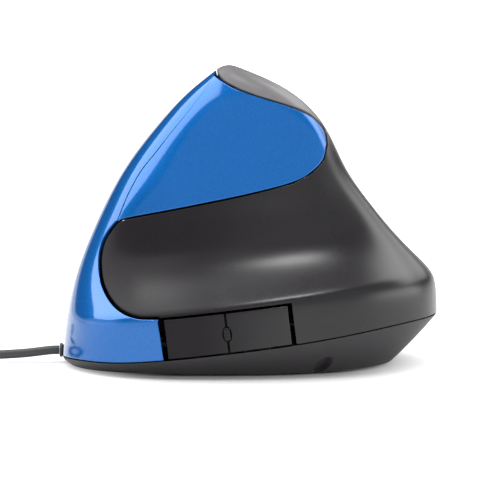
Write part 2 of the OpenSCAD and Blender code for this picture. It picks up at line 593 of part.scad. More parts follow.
module back_button() thumb_button(-7.05 + button_gap / 2, 10.5, 1);
module nub(w, l, depth) {
  translate([-w / 2, 0, -l / 2 + w / 2]) cube([w, depth, l - w]);
  for (s = [-1, 1]) translate([0, 0, s * (l - w) / 2]) rotate([-90, 0, 0]) cylinder(d = w, h = depth);
}
module side_button_bracket() color([0.2, 0.19, 0.2]) difference() {
  union() {
    on_thumb_face() {
      translate([-14, guide_y, -4.2]) cube([28, 2, 8.6]);
      translate([-2, guide_y, -6.2]) cube([4, 2, 3]);
      translate([0, -0.1, 0]) nub(1.7, 3.6, guide_y + 1);
      for (s = [-1, 1]) translate([0, guide_y + 1.5, s * 2.6]) rotate([-90, 0, 0])
        cylinder(d = 3.6, h = side_board_y - guide_y - 1.5);
      translate([-2, guide_y + 1, -6.2]) cube([4, 12.5, 2.1]);
    }
    screw_column(bracket_foot, nub_origin[2] - 4.5);
  }
  on_thumb_face() {
    for (s = [-1, 1]) {
      translate([s * stem_x, guide_y - 1, 0]) rotate([-90, 0, 0])
        cylinder(d = stem_d + 2 * running_fit, h = 4);
      translate([0, side_board_y - 3, s * 2.6]) rotate([-90, 0, 0]) cylinder(d = 1.4, h = 8);
    }
  }
  translate([bracket_foot[0], bracket_foot[1], boss_z - 0.1]) cylinder(d = screw_d, h = 9);
}
module side_board() color("seagreen") on_thumb_face() difference() {
  translate([-14, side_board_y, -3.3]) cube([28, board_t, 7.6]);
  for (s = [-1, 1]) translate([0, side_board_y - 1, s * 2.6]) rotate([-90, 0, 0]) cylinder(d = 1.8, h = 4);
}
module side_board_screws() color("silver") on_thumb_face()
  for (s = [-1, 1]) translate([0, side_board_y + board_t, s * 2.6]) {
    rotate([90, 0, 0]) cylinder(d = 1.4, h = 3.5);
    rotate([-90, 0, 0]) cylinder(d = 2.6, h = 0.9);
  }
module side_switch_cases() color([0.1, 0.1, 0.1]) on_thumb_face() for (s = [-1, 1]) difference() {
  translate([s * stem_x - 3, tact_y, -3]) cube([6, side_board_y - tact_y, 6]);
  translate([s * stem_x, tact_y - 1, 0]) rotate([-90, 0, 0]) cylinder(d = 3.4 + 2 * running_fit, h = 3.2);
}
module tact_plunger(s) color([0.85, 0.85, 0.8]) on_thumb_face()
  translate([s * stem_x, tact_y - 0.8, 0]) rotate([-90, 0, 0]) cylinder(d = 3.4, h = 2.2);
module forward_switch_plunger() tact_plunger(-1);
module back_switch_plunger() tact_plunger(1);

module main_board() color("seagreen") difference() {
  bar([board_x[0], board_w[0], main_z], [board_x[1], board_w[1], main_z + board_t]);
  for (s = posts) translate([s[0], s[1], main_z - 1]) cylinder(d = 2.2, h = 4);
  translate([sensor_at[0], sensor_at[1], main_z - 1]) cylinder(d = 7, h = 4);
}
module board_screws() color("silver") for (s = posts) translate([s[0], s[1], main_z + board_t]) {
  translate([0, 0, -4.5]) cylinder(d = 1.8, h = 4.5);
  cylinder(d = 3.8, h = 1.3);
}
board_z = main_z + board_t;
module sensor_chip() color([0.1, 0.1, 0.11]) difference() {
  translate([sensor_at[0] - 6, sensor_at[1] - 5, board_z]) cube([12, 10, 3.2]);
  translate([sensor_at[0], sensor_at[1], board_z - 1]) cylinder(d = 2, h = 2);
}
module sensor_lens() color([0.8, 0.85, 0.88, 0.6]) {
  translate([sensor_at[0] - 10, sensor_at[1] - 5, floor_z]) cube([20, 10, 1.4]);
  translate([sensor_at[0], sensor_at[1], floor_z + 1.3]) cylinder(d = 6, h = main_z - floor_z - 1.6);
}
lamp_at = [sensor_at[0] + 8.6, sensor_at[1], board_z + 3.1];
module sensor_lamp() color([0.85, 0.25, 0.2]) translate(lamp_at) {
  rotate([0, 90, 0]) cylinder(d = 5, h = 7);
  translate([7, 0, 0]) rotate([0, 90, 0]) cylinder(d = 5.8, h = 1);
  for (s = [-1, 1]) {
    translate([8, s * 1.27 - 0.25, -0.25]) cube([2.4, 0.5, 0.5]);
    translate([9.9, s * 1.27 - 0.25, board_z - lamp_at[2]]) cube([0.5, 0.5, lamp_at[2] - board_z + 0.25]);
  }
}
module lamp_clip() color([0.12, 0.12, 0.13]) difference() {
  translate([lamp_at[0] + 1, lamp_at[1] - 4, board_z]) cube([5, 8, 6.6]);
  translate([lamp_at[0] - 1, lamp_at[1], lamp_at[2]]) rotate([0, 90, 0]) cylinder(d = 5, h = 9);
}
module controller_chip() color([0.1, 0.1, 0.11]) translate([-8, board_w[0] + 1.5, board_z]) {
  cube([12, 6, 1.8]);
  for (k = [0:7]) for (s = [0, 1]) translate([0.9 + 1.4 * k, s > 0 ? 6 : -0.9, 0]) cube([0.45, 0.9, 0.9]);
}
module capacitor() color([0.15, 0.2, 0.3]) translate([10, 6, board_z]) {
  cylinder(d = 5, h = 7);
}
header_at = [board_x[0] + 6, -6.5, board_z];
module cable_header() color([0.9, 0.88, 0.8]) translate(header_at) difference() {
  cube([5, 12.5, 5]);
  translate([-1, 1, 1]) cube([5, 10.5, 6]);
}
module cable_connector() color([0.88, 0.87, 0.82]) translate(header_at + [-1.5, 1, 1]) cube([5.5, 10.5, 3.6]);
lead_route = [[nose_x + 4.9, 0, cord_z], [nose_x + 9, 0, cord_z + 0.4], [nose_x + 15, 0, 7],
  [nose_x + 21, 0, 10.6], [header_at[0] - 1.65, -0.25, header_at[2] + 2.8]];
module inner_lead() color([0.16, 0.16, 0.17]) swept(sample(lead_route, 14), cord_d, 8);
harness_x = -8;
harness_end = face_origin + (board_y + 2) * [0, cos(face_lean), sin(face_lean)]
  + (board_low + 0.8) * [0, -sin(face_lean), cos(face_lean)];
key_route = [[harness_x, 7, board_z + 2.4], [harness_x, 9.5, board_z + 3], [harness_x, 14, board_z + 2.4],
  [harness_x, 20, board_z + 2.2], [harness_x, 24.5, board_z + 4], [harness_x, 25, board_z + 8],
  [harness_x, harness_end[1] + 0.8, harness_end[2] - 2], [harness_x, harness_end[1], harness_end[2]]];
module key_harness() color([0.7, 0.68, 0.62]) {
  swept(sample(key_route, 20), 2, 8);
  bar([harness_x - 2.5, 4, board_z], [harness_x + 2.5, 8, board_z + 3.6]);
  on_face() translate([harness_x - wheel_x - 2.5, board_y, board_low + 0.1]) cube([5, 3.4, 4.2]);
}
side_end = nub_origin[1] + side_board_y + board_t;
side_route = [[10, board_w[0] + 2, board_z + 2.4], [9, board_w[0] - 0.5, board_z + 5.5],
  [4, side_end + 4.1, board_z + 7], [0.5, side_end + 2.3, nub_origin[2] + 3],
  [0, side_end + 0.1, nub_origin[2] + 3]];
module side_harness() color([0.7, 0.68, 0.62]) {
  swept(sample(side_route, 12), 1.8, 8);
  bar([8, board_w[0] + 0.4, board_z], [12, board_w[0] + 3.4, board_z + 3]);
}
module cable_grommet() color([0.14, 0.14, 0.15]) {
  translate([nose_x - 1.2, 0, cord_z]) rotate([0, 90, 0]) cylinder(d = cord_d + 1.4, h = 0.9);
  translate([nose_x - 0.5, 0, cord_z]) rotate([0, 90, 0]) cylinder(d = cord_d + 0.7, h = 4);
  bar([nose_x + 3, -2.6, floor_z], [nose_x + 4.8, 2.6, cord_z + 2.6]);
}
cord_exit = [nose_x - 1.2, 0, cord_z];
cord_route = [cord_exit - [0.1, 0, 0], [nose_x - 4, 0, 3.4], [nose_x - 12, 0, 2.5],
  [nose_x - 22, 0, 2], [nose_x - 30, 0, 2.05], [coil_at[0] + 6.5, 0, 2.05]];
module usb_cord() color([0.14, 0.14, 0.15]) swept(sample(cord_route, 14), cord_d, 8);
module cord_coil() color([0.14, 0.14, 0.15]) translate([coil_at[0], coil_at[1], coil_low])
  rotate_extrude($fn = 64) translate([coil_radius - coil_wide / 2, 0]) square([coil_wide, coil_wide]);
tie_at = [coil_at[0] + coil_radius, coil_at[1]];
module cord_tie() color([0.1, 0.1, 0.1])
  translate([tie_at[0], tie_at[1], coil_low + coil_wide / 2]) difference() {
    cube([coil_wide + 2, 5, coil_wide + 1.4], center = true);
    cube([coil_wide + 0.8, 6, coil_wide], center = true);
  }
plug_at = [coil_at[0] - coil_lane, coil_at[1] + 22, 4];
tail_route = [[plug_at[0], coil_at[1] + 4, 9.5], [plug_at[0], coil_at[1] + 11, 8.4],
  [plug_at[0], coil_at[1] + 17, 5.2], [plug_at[0], plug_at[1] - 0.7, 4]];
module cord_tail() color([0.14, 0.14, 0.15]) swept(sample(tail_route, 8), cord_d, 8);
module plug_boot() color([0.14, 0.14, 0.15]) translate(plug_at) {
  rotate([-90, 0, 0]) cylinder(d1 = 4.4, d2 = 5.6, h = 8);
  translate([-7.5, 7, -3.9]) cube([15, 19, 7.8]);
}
module plug_shell() color("silver") translate(plug_at + [0, 26, 0]) difference() {
  translate([-6, 0, -2.25]) cube([12, 12, 4.5]);
  translate([-5.7, 0.6, -1.95]) cube([11.4, 13, 3.9]);
  for (s = [-1, 1]) translate([s * 2.9 - 1.2, 5, 0]) cube([2.4, 2.6, 4]);
}
module plug_tongue() color([0.92, 0.92, 0.9])
  translate(plug_at + [-5.6, 26.6, -1.95]) cube([11.2, 10.8, 1.9]);

base_tray();
glide_feet();
base_screws();
rear_shell();
thumb_panel();
front_cover();
finger_rest();
left_key();
right_key();
key_hinge_pin();
key_frame();
key_board();
left_switch_case();
left_switch_plunger();
right_switch_case();
right_switch_plunger();
wheel_cradle();
cradle_pin();
scroll_wheel();
wheel_tyre();
wheel_axle();
click_switch_case();
click_switch_plunger();
wheel_light_emitter();
wheel_light_detector();
forward_button();
back_button();
side_button_bracket();
side_board();
side_switch_cases();
forward_switch_plunger();
back_switch_plunger();
side_board_screws();
main_board();
board_screws();
key_board_screws();
sensor_chip();
sensor_lens();
sensor_lamp();
lamp_clip();
controller_chip();
capacitor();
cable_header();
cable_connector();
inner_lead();
key_harness();
side_harness();
cable_grommet();
usb_cord();
cord_coil();
cord_tie();
cord_tail();
plug_boot();
plug_shell();
plug_tongue();
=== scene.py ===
"""A wired vertical mouse for the right hand: shells, keys, wheel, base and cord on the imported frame."""

import bmesh
import bpy
import numpy as np
from mathutils import Matrix, Vector


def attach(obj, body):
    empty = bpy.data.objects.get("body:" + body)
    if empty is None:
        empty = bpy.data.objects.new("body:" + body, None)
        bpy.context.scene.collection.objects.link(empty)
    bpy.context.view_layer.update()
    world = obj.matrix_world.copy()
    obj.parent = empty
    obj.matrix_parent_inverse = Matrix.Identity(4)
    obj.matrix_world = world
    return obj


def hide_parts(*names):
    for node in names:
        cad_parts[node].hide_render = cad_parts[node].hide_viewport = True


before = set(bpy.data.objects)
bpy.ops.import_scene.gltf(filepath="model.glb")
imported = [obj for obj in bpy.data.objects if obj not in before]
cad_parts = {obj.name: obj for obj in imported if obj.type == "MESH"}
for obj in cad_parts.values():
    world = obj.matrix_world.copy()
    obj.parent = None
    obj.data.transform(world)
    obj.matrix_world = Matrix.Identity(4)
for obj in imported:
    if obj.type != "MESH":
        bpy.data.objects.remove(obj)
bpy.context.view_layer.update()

# Camera
# A long lens looks along +Y at the thumb side, a few degrees above the desk,
# and its 500 by 500 picture is as wide at the middle of the mouse as the photograph is.
mm = 0.001
scene = bpy.context.scene
scene.view_settings.view_transform = "Standard"
view_rise = np.radians(6.7)
view_distance = 2000 * mm
view_width = 140.6 * mm
look_at = Vector((-0.08 * mm, 0, 31.8 * mm))
camera = bpy.data.objects.new("camera", bpy.data.cameras.new("camera"))
camera.data.sensor_width = 36
camera.data.lens = camera.data.sensor_width * view_distance / view_width
camera.data.clip_start = 0.01
camera.location = look_at + view_distance * Vector((0, -np.cos(view_rise), np.sin(view_rise)))
camera.rotation_euler = (np.pi / 2 - view_rise, 0, 0)
scene.collection.objects.link(camera)
scene.camera = camera


# Desk and studio
# A plain white sheet under the mouse, in a white room with two large soft boxes. Glossy rays alone see
# another room, dim but for a long lamp towards the nose and windows towards the palm end.
class Wire:
    """A shader value. Arithmetic on it adds the Math node that works the result out."""

    def __init__(self, socket):
        self.socket = socket

    def worked(self, operation, *values):
        node = self.socket.id_data.nodes.new("ShaderNodeMath")
        node.operation = operation
        for slot, value in zip(node.inputs, values):
            feed(slot, value)
        return Wire(node.outputs[0])

    def __add__(self, other):
        return self.worked("ADD", self, other)

    def __radd__(self, other):
        return self.worked("ADD", other, self)

    def __sub__(self, other):
        return self.worked("SUBTRACT", self, other)

    def __rsub__(self, other):
        return self.worked("SUBTRACT", other, self)

    def __mul__(self, other):
        return self.worked("MULTIPLY", self, other)

    def __rmul__(self, other):
        return self.worked("MULTIPLY", other, self)

    def __truediv__(self, other):
        return self.worked("DIVIDE", self, other)

    def most(self, other):
        return self.worked("MAXIMUM", self, other)


def feed(slot, value):
    """Links a wire to a socket, or sets the socket's own value; a colour gets a full alpha."""
    if isinstance(value, Wire):
        slot.id_data.links.new(value.socket, slot)
    elif slot.type == "RGBA" and len(value) == 3:
        slot.default_value = (*value, 1)
    else:
        slot.default_value = value


class Finish:
    """A material, or the world. node() adds any node to it, and skin() ends it in a Principled surface."""

    def __init__(self, name, holder=None):
        self.material = holder or bpy.data.materials.new(name)
        self.material.use_nodes = True
        self.tree = self.material.node_tree
        self.tree.nodes.clear()

    def node(self, kind, settings, inputs, output=0):
        """Adds a node with its settings and the values or links of its sockets, and gives one output."""
        node = self.tree.nodes.new("ShaderNode" + kind)
        for key, value in settings.items():
            setattr(node, key, value)
        for key, value in inputs.items():
            feed(node.inputs[key], value)
        return None if output is None else Wire(node.outputs[output])

    def place(self):
        return self.node("TexCoord", {}, {}, "Object")

    def along(self, axis):
        """Place along X, Y or Z, in millimetres."""
        return self.node("SeparateXYZ", {}, {"Vector": self.place()}, axis) / mm

    def noise(self, size, detail=2.0):
        """Soft cloud noise from 0 to 1 whose blotches are about size millimetres wide."""
        inputs = {"Vector": self.place(), "Scale": 1 / (size * mm), "Detail": detail}
        return self.node("TexNoise", {}, inputs)

    def mixed(self, factor, first, second):
        """A colour that goes from first to second as factor goes from 0 to 1."""
        return self.node("Mix", {"data_type": "RGBA"}, {0: factor, 6: first, 7: second}, 2)

    def step(self, value, low, high):
        """0 where value is below low and 1 above high, with a soft S between."""
        inputs = {"Value": value, "From Min": low, "From Max": high}
        return self.node("MapRange", {"interpolation_type": "SMOOTHSTEP"}, inputs)

    def within(self, value, low, high, soft):
        """1 where value is from low to high and 0 elsewhere, with edges that are soft to both sides."""
        return self.step(value, low - soft, low + soft) * (1 - self.step(value, high - soft, high + soft))

    def end(self, surface):
        self.node("OutputMaterial", {}, {"Surface": surface}, None)
        return self.material

    def skin(self, grain=None, grain_height=0.0, **sockets):
        """The Principled surface; grain is a height map in units of grain_height millimetres."""
        inputs = {key.replace("_", " ").title().replace("Ior", "IOR"): value
                  for key, value in sockets.items()}
        if grain is not None:
            bump = {"Strength": 1.0, "Distance": grain_height * mm, "Height": grain}
            inputs["Normal"] = self.node("Bump", {}, bump)
        return self.end(self.node("BsdfPrincipled", {}, inputs))


def seen_directly(finish):
    """1 for rays from the camera and through glass, and 0 for the rest."""
    from_camera, through_glass = (finish.node("LightPath", {}, {}, ray)
                                  for ray in ("Is Camera Ray", "Is Transmission Ray"))
    return from_camera.most(through_glass)


floor_half = 3.0
floor_corners = [(floor_half * x, floor_half * y, 0) for x, y in ((-1, -1), (1, -1), (1, 1), (-1, 1))]
floor_mesh = bpy.data.meshes.new("floor")
floor_mesh.from_pydata(floor_corners, [], [(0, 1, 2, 3)])
floor = bpy.data.objects.new("floor", floor_mesh)
scene.collection.objects.link(floor)
# The paper is white in the room's light, and is seen as fully white away from the mouse and its shadow.
paper_white = (0.86, 0.86, 0.86)
glow_from, glow_to = 141.4, 400
# Beyond 20 mm to either side along x the paper also glows a little, a painted light that pales the shadow by
# the nose and under the tail.
side_from, side_to, side_share = 20, 50, 0.4
desk = Finish("white_sheet")
desk_x, desk_y = desk.along("X"), desk.along("Y")
desk_far = (desk.step(desk_x * desk_x + desk_y * desk_y, glow_from ** 2, glow_to ** 2)
            + side_share * desk.step(desk_x * desk_x, side_from ** 2, side_to ** 2))
desk_glow = desk.node("Emission", {}, {"Color": (1, 1, 1), "Strength": seen_directly(desk) * desk_far})
desk_paper = desk.node("BsdfDiffuse", {}, {"Color": paper_white})
floor_mesh.materials.append(desk.end(desk.node("AddShader", {}, {0: desk_glow, 1: desk_paper})))

scene.world = bpy.data.worlds.new("white_room")
room = Finish("white_room", scene.world)
room_way = room.node("TexCoord", {}, {}, "Generated")
sideways, backward, upward = (room.node("SeparateXYZ", {}, {"Vector": room_way}, axis) for axis in "XYZ")
room_dark = 0.03
low = 1 - room.step(upward, 0.2, 0.35)
back_wall = 0.25 * room.step(backward, 0.93, 0.99)
palm_wall = 3.0 * low * room.step(sideways, 0.84, 0.96)
nose_wall = 0.8 * low * (1 - room.step(sideways, -0.97, -0.86))
horizon = 0.9 * (1 - room.step(upward, 0.03, 0.11))
front_wall = 0.32 * room.step(0.5 * sideways - backward - 0.72 * upward, -0.04, 0.08)
room_mirror = room_dark + back_wall + palm_wall + nose_wall + horizon + front_wall
# Each hung lamp lies from x to x and from y to y on a ceiling one unit up, and has its own glow.
hung_lamps = [(-3.6, -0.22, -0.72, 0.85, 4.0), (-0.42, -0.12, 0.12, 0.34, 3.0),
              (-0.07, 0.19, -0.14, 0.03, 18.0), (0.42, 2.5, 0.34, 1.1, 3.4), (0.6, 2.5, 1.1, 3.6, 1.4)]
lamp_soft = 0.05
hung_x = sideways / upward.most(0.02)
hung_y = backward / upward.most(0.02)
overhead = room.step(upward, 0.1, 0.25)
for x0, x1, y0, y1, glow in hung_lamps:
    lamp_face = room.within(hung_x, x0, x1, lamp_soft) * room.within(hung_y, y0, y1, lamp_soft)
    room_mirror = room_mirror + glow * overhead * lamp_face
room_soft, palm_soft = 0.35, 0.8
in_mirror = room.node("LightPath", {}, {}, "Is Glossy Ray")
in_view = seen_directly(room)
room_plain = room_soft + palm_soft * room.step(sideways, 0.2, 0.9)
room_light = in_mirror * room_mirror + (1 - in_mirror) * room_plain
room_strength = in_view + (1 - in_view) * room_light
room_glow = room.node("Background", {}, {"Color": (1, 1, 1), "Strength": room_strength})
room.node("OutputWorld", {}, {"Surface": room_glow}, None)


def soft_box(name, way, long_way, distance, width, length, glow):
    """A flat lamp that faces the mouse from the direction way, its length along long_way (metres). Its power
    makes it glow times as bright as a white sheet in plain light. Nothing mirrors it."""
    data = bpy.data.lights.new(name, "AREA")
    data.shape = "RECTANGLE"
    data.size = width
    data.size_y = length
    data.energy = glow * np.pi * width * length
    toward = Vector(way).normalized()
    across = Vector(long_way).cross(toward).normalized()
    lamp = bpy.data.objects.new(name, data)
    lamp.matrix_world = Matrix((across, toward.cross(across), toward)).transposed().to_4x4()
    lamp.location = toward * distance
    lamp.visible_camera = False
    lamp.visible_glossy = False
    scene.collection.objects.link(lamp)


soft_box("overhead_box", (-0.2, 0.05, 1.0), (1, 0, 0), distance=1.0, width=1.5, length=3.0, glow=1.7)
soft_box("camera_fill", (0.1, -1.0, 0.35), (1, 0, 0), distance=2.2, width=1.2, length=2.4, glow=2.0)


# Cord and plug
# A thin round data cord with a soft black jacket. It leaves a flanged relief at the foot of the nose,
# runs along the desk, and its spare length is wound into a tied coil that ends in a moulded plug.
cord_d = 2.5
cord_r = cord_d / 2
cord_height = 3.5
nose_x = -52.5
cord_route = [(-53.8, 0, cord_height), (-56.5, 0, 3.4), (-64.5, 0, 2.5), (-74.5, 0, 2.0), (-82.5, 0, 2.05),
              (-95, 0, 2.05)]
coil_centre = np.array([-95.0, 19.75])
coil_lanes = 4
coil_outer = 19.75
coil_low = 2.05
coil_turns = 14.25
jog = np.radians(40)
first_jog = np.radians(200)
layer_turn = np.radians(1360)
plug_mouth = np.array([coil_centre[0] - coil_outer, 41.75, 4.0])


def through(points, t):
    """Catmull-Rom curve through a list of points, at parameters t from 0 to 1."""
    points = np.asarray(points, float)
    w = np.asarray(t) * (len(points) - 1)
    i = np.clip(np.floor(w).astype(int), 0, len(points) - 2)
    f = (w - i)[..., None]
    a, b, c, d = (points[np.clip(i + k, 0, len(points) - 1)] for k in (-1, 0, 1, 2))
    return b + f * ((c - a) / 2 + f * ((2 * a - 5 * b + 4 * c - d) / 2 + f * (3 * b - a - 3 * c + d) / 2))


def smooth(x):
    """0 below 0 and 1 above 1, with a soft S between."""
    x = np.clip(x, 0, 1)
    return x * x * (3 - 2 * x)


def coil_points():
    """The wound coil, from the angle swept: the radius steps a lane in or out in a short jog each turn,
    and the height steps up a layer just before the next turn would meet the last jog."""
    swept = np.arange(0, np.radians(coil_turns * 360), np.radians(6))
    radius = np.full(swept.shape, coil_outer)
    height = np.full(swept.shape, coil_low)
    for layer in range(coil_lanes):
        start = first_jog + layer * layer_turn
        step = -cord_d if layer % 2 == 0 else cord_d
        for lane in range(coil_lanes - 1):
            radius += step * smooth((swept - start - lane * 2 * np.pi) / jog)
        if layer < coil_lanes - 1:
            height += cord_d * smooth((swept - start - (coil_lanes - 1) * 2 * np.pi + jog) / jog)
    angle = -np.pi / 2 - swept
    flat = coil_centre + radius[:, None] * np.stack([np.cos(angle), np.sin(angle)], -1)
    return np.concatenate([flat, height[:, None]], -1)


wound = coil_points()
tail_route = [wound[-1], wound[-1] + (0, 9, -0.9), plug_mouth - (0, 7, -1.3), plug_mouth + (0, 1, 0)]
cord_path = np.concatenate([through(cord_route, np.linspace(0, 1, 40))[:-1], wound,
                            through(tail_route, np.linspace(0, 1, 16))[1:]])


def grid_faces(rows, columns, closed=False):
    """Quads of a grid of points stored row by row; closed joins the last column to the first."""
    i, j = np.meshgrid(np.arange(rows - 1), np.arange(columns if closed else columns - 1), indexing="ij")
    a = i * columns + j
    b = i * columns + (j + 1) % columns
    return np.stack([a, b, b + columns, a + columns], -1).reshape(-1, 4)


def add_piece(name, points, faces, material, body, slot, stands_for=(), normals=None, weld=0.002):
    """Makes a smooth mesh of quads from points in millimetres, closes its poles and seams, and sets it on a
    body. A normal that isn't zero is used as it is."""
    points = np.asarray(points, float).reshape(-1, 3)
    mesh = bpy.data.meshes.new(name)
    mesh.vertices.add(len(points))
    mesh.vertices.foreach_set("co", (points * mm).ravel())
    mesh.loops.add(faces.size)
    mesh.loops.foreach_set("vertex_index", faces.ravel().astype(np.int32))
    mesh.polygons.add(len(faces))
    mesh.polygons.foreach_set("loop_start", np.arange(0, faces.size, 4, dtype=np.int32))
    mesh.update(calc_edges=True)
    if normals is not None:
        given = mesh.attributes.new("own_normal", "FLOAT_VECTOR", "POINT")
        given.data.foreach_set("vector", normals.ravel())
    work = bmesh.new()
    work.from_mesh(mesh)
    bmesh.ops.remove_doubles(work, verts=work.verts, dist=weld * mm)
    bmesh.ops.recalc_face_normals(work, faces=work.faces)
    work.to_mesh(mesh)
    work.free()
    mesh.polygons.foreach_set("use_smooth", np.ones(len(mesh.polygons), bool))
    if normals is not None:
        own = np.zeros(3 * len(mesh.vertices), np.float32)
        mesh.attributes["own_normal"].data.foreach_get("vector", own)
        mesh.attributes.remove(mesh.attributes["own_normal"])
        mesh.normals_split_custom_set_from_vertices(own.reshape(-1, 3))
    mesh.materials.append(material)
    piece = bpy.data.objects.new(name, mesh)
    scene.collection.objects.link(piece)
    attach(piece, body)
    for node in stands_for:
        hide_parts(node)
    return piece


def tube(path, radius, sides):
    """Rings of points round a path: each ring stands square to the path and starts level with it."""
    along = np.gradient(path, axis=0)
    along /= np.linalg.norm(along, axis=1)[:, None]
    across = np.cross(along, (0, 0, 1.0))
    across /= np.linalg.norm(across, axis=1)[:, None]
    upward = np.cross(across, along)
    angle = np.linspace(0, 2 * np.pi, sides, endpoint=False)[None, :, None]
    return path[:, None] + radius * (np.cos(angle) * across[:, None] + np.sin(angle) * upward[:, None])


def capped(rings):
    """Adds the middle point of the first and last ring as rings of their own, which close the ends."""
    first = np.broadcast_to(rings[:1].mean(1, keepdims=True), rings[:1].shape)
    last = np.broadcast_to(rings[-1:].mean(1, keepdims=True), rings[-1:].shape)
    return np.concatenate([first, rings, last])


def ringed_piece(name, rings, *facts):
    """A closed piece of rings of points, capped at both ends."""
    rings = capped(rings)
    return add_piece(name, rings, grid_faces(*rings.shape[:2], closed=True), *facts)


jacket = Finish("cord_jacket")
jacket_tone = jacket.noise(1.2)
jacket_colour = jacket.mixed(jacket_tone, (0.040, 0.039, 0.040), (0.055, 0.054, 0.056))
jacket_skin = jacket.skin(jacket.noise(0.25), 0.01, base_color=jacket_colour,
                          roughness=jacket_tone * 0.12 + 0.38)
cord = ringed_piece("data_cord", tube(cord_path, cord_r, 14), jacket_skin, "housing", "cord_black",
                    ("usb_cord", "cord_coil", "cord_tail"))
relief_profile = [(-1.2, 0.0), (-1.2, 1.5), (-1.1, 1.85), (-0.9, 1.95), (-0.5, 1.95), (-0.32, 1.85),
                  (-0.3, 1.6), (1.0, 1.6), (4.8, 1.6), (4.8, 0.0)]


def turned(profile, centre, axis, sides=48):
    """Rings of a turned shape: (distance along the axis, radius) pairs carried round a level axis."""
    profile = np.asarray(profile, float)
    along = np.asarray(axis, float)
    side = np.cross(along, (0.0, 0.0, 1.0))
    other = np.cross(along, side)
    angle = np.linspace(0, 2 * np.pi, sides, endpoint=False)[None, :, None]
    return (np.asarray(centre, float) + profile[:, :1, None] * along
            + profile[:, 1:, None] * (np.cos(angle) * side + np.sin(angle) * other))


relief = ringed_piece("cord_relief", turned(relief_profile, (nose_x, 0, cord_height), (1, 0, 0)),
                      jacket_skin, "housing", "cord_black", ("cable_grommet",))


def rounded_box(half_x, half_z, power, ys, scales):
    """Rings along Y of a superellipse section: each ring is the section shrunk by its own scale."""
    angle = np.linspace(0, 2 * np.pi, 64, endpoint=False)
    reach = (np.abs(np.cos(angle)) ** power + np.abs(np.sin(angle)) ** power) ** (-1 / power)
    section = np.stack([half_x * reach * np.cos(angle), 0 * angle, half_z * reach * np.sin(angle)], -1)
    scales = np.asarray(scales, float)[:, None, None]
    rings = section[None] * scales
    rings[..., 1] = np.asarray(ys, float)[:, None]
    return rings


boot_ys = [7, 7.05, 7.3, 7.8, 8.6, 10, 12, 14, 16, 18, 20, 22, 24, 25.2, 25.7, 25.95, 26]
boot_scales = [0.6, 0.78, 0.88, 0.95, 0.99, 1, 1, 0.985, 0.98, 0.98, 0.985, 1, 1, 0.99, 0.96, 0.9, 0.7]
boot_half_x, boot_half_z, boot_power = 7.5, 3.9, 5.0
boot_rings = plug_mouth + rounded_box(boot_half_x, boot_half_z, boot_power, boot_ys, boot_scales)
boot = ringed_piece("plug_grip", boot_rings, jacket_skin, "housing", "cord_black", ("plug_boot",))
collar_profile = [(0, 1.3), (0, 1.9), (0.25, 2.15), (1.2, 2.2), (1.45, 2.0), (1.9, 2.0), (2.15, 2.3),
                  (3.2, 2.4), (3.45, 2.15), (3.9, 2.15), (4.15, 2.5), (5.3, 2.6), (5.55, 2.35), (6.0, 2.35),
                  (6.3, 2.75), (7.6, 2.8)]
collar = ringed_piece("plug_relief", turned(collar_profile, plug_mouth, (0, 1, 0)), jacket_skin, "housing",
                      "cord_black")
tie_half, tie_thick, tie_wide, tie_edge, tie_power = 5.4, 0.7, 5.0, 0.1, 8
tie_outer = tie_half + tie_thick
tie_angle = np.linspace(0, 2 * np.pi, 96, endpoint=False)
tie_ring = np.stack([np.cos(tie_angle), 0 * tie_angle, np.sin(tie_angle)], -1)
tie_ring /= (np.abs(tie_ring) ** tie_power).sum(-1, keepdims=True) ** (1 / tie_power)
tie_section = [(tie_half, -1), (tie_outer - tie_edge, -1), (tie_outer, -0.92), (tie_outer, 0.92),
               (tie_outer - tie_edge, 1), (tie_half, 1), (tie_half, -1)]
tie_rings = np.stack([tie_ring * reach + (0, side * tie_wide / 2, 0) for reach, side in tie_section])
tie_rings += (coil_centre[0] + coil_outer - (coil_lanes - 1) * cord_d / 2, coil_centre[1], tie_outer)
tie = add_piece("cord_strap", tie_rings, grid_faces(*tie_rings.shape[:2], closed=True), jacket_skin,
                "housing", "cord_black", ("cord_tie",))
# The nose would mirror the coil as dark rings, so glossy rays pass the cord by.
for far_piece in (cord, tie, boot, collar, relief):
    far_piece.visible_glossy = False

# Base
# A black moulded tray, screwed up against the shells, that closes the mouse from below. Its foot is smaller
# than its rim, which rises towards the tail, so its sides slope out. A round recess is in its thumb side.
body_length, body_width, body_height = 105, 80, 84
seam_tilt = 0.118
half_l, half_w = body_length / 2, body_width / 2
apex_x = -0.124 * half_l
crown = body_height - seam_tilt * (apex_x + half_l)
# Outlines seen from the side and the front, from the apex down at even steps of the root of the depth.
front_share = [-0.170, -0.217, -0.295, -0.385, -0.478, -0.581, -0.685, -0.775, -0.859, -0.935, -0.983,
               -1.004, -1.008]
rear_share = [-0.080, -0.018, 0.078, 0.192, 0.299, 0.390, 0.459, 0.531, 0.651, 0.800, 1.010, 1.260, 1.520]
thumb_share = [-0.060, -0.123, -0.183, -0.240, -0.295, -0.350, -0.412, -0.475, -0.505, -0.655, -1.120,
               -1.700, -2.300]
finger_share = [0.063, 0.130, 0.200, 0.280, 0.365, 0.450, 0.540, 0.635, 0.735, 0.840, 0.955, 1.075, 1.200]
front_square = [2.0, 2.3, 2.7, 2.9, 2.8, 2.6, 2.4]
rear_square = [2.0, 2.3, 2.6, 2.6, 2.4, 2.2, 2.1]
side_line = front_share[::-1] + [apex_x / half_l] + rear_share
front_line = thumb_share[::-1] + [0] + finger_share
steps = len(front_share) - 1
tail_turn, lip_turn, finger_turn = 3, 2, 3
tail_over, finger_over = 0.06, 0.3
corner_rise = [(208, 1.35, 20), (322, 0.95, 25)]
rise_end = 14


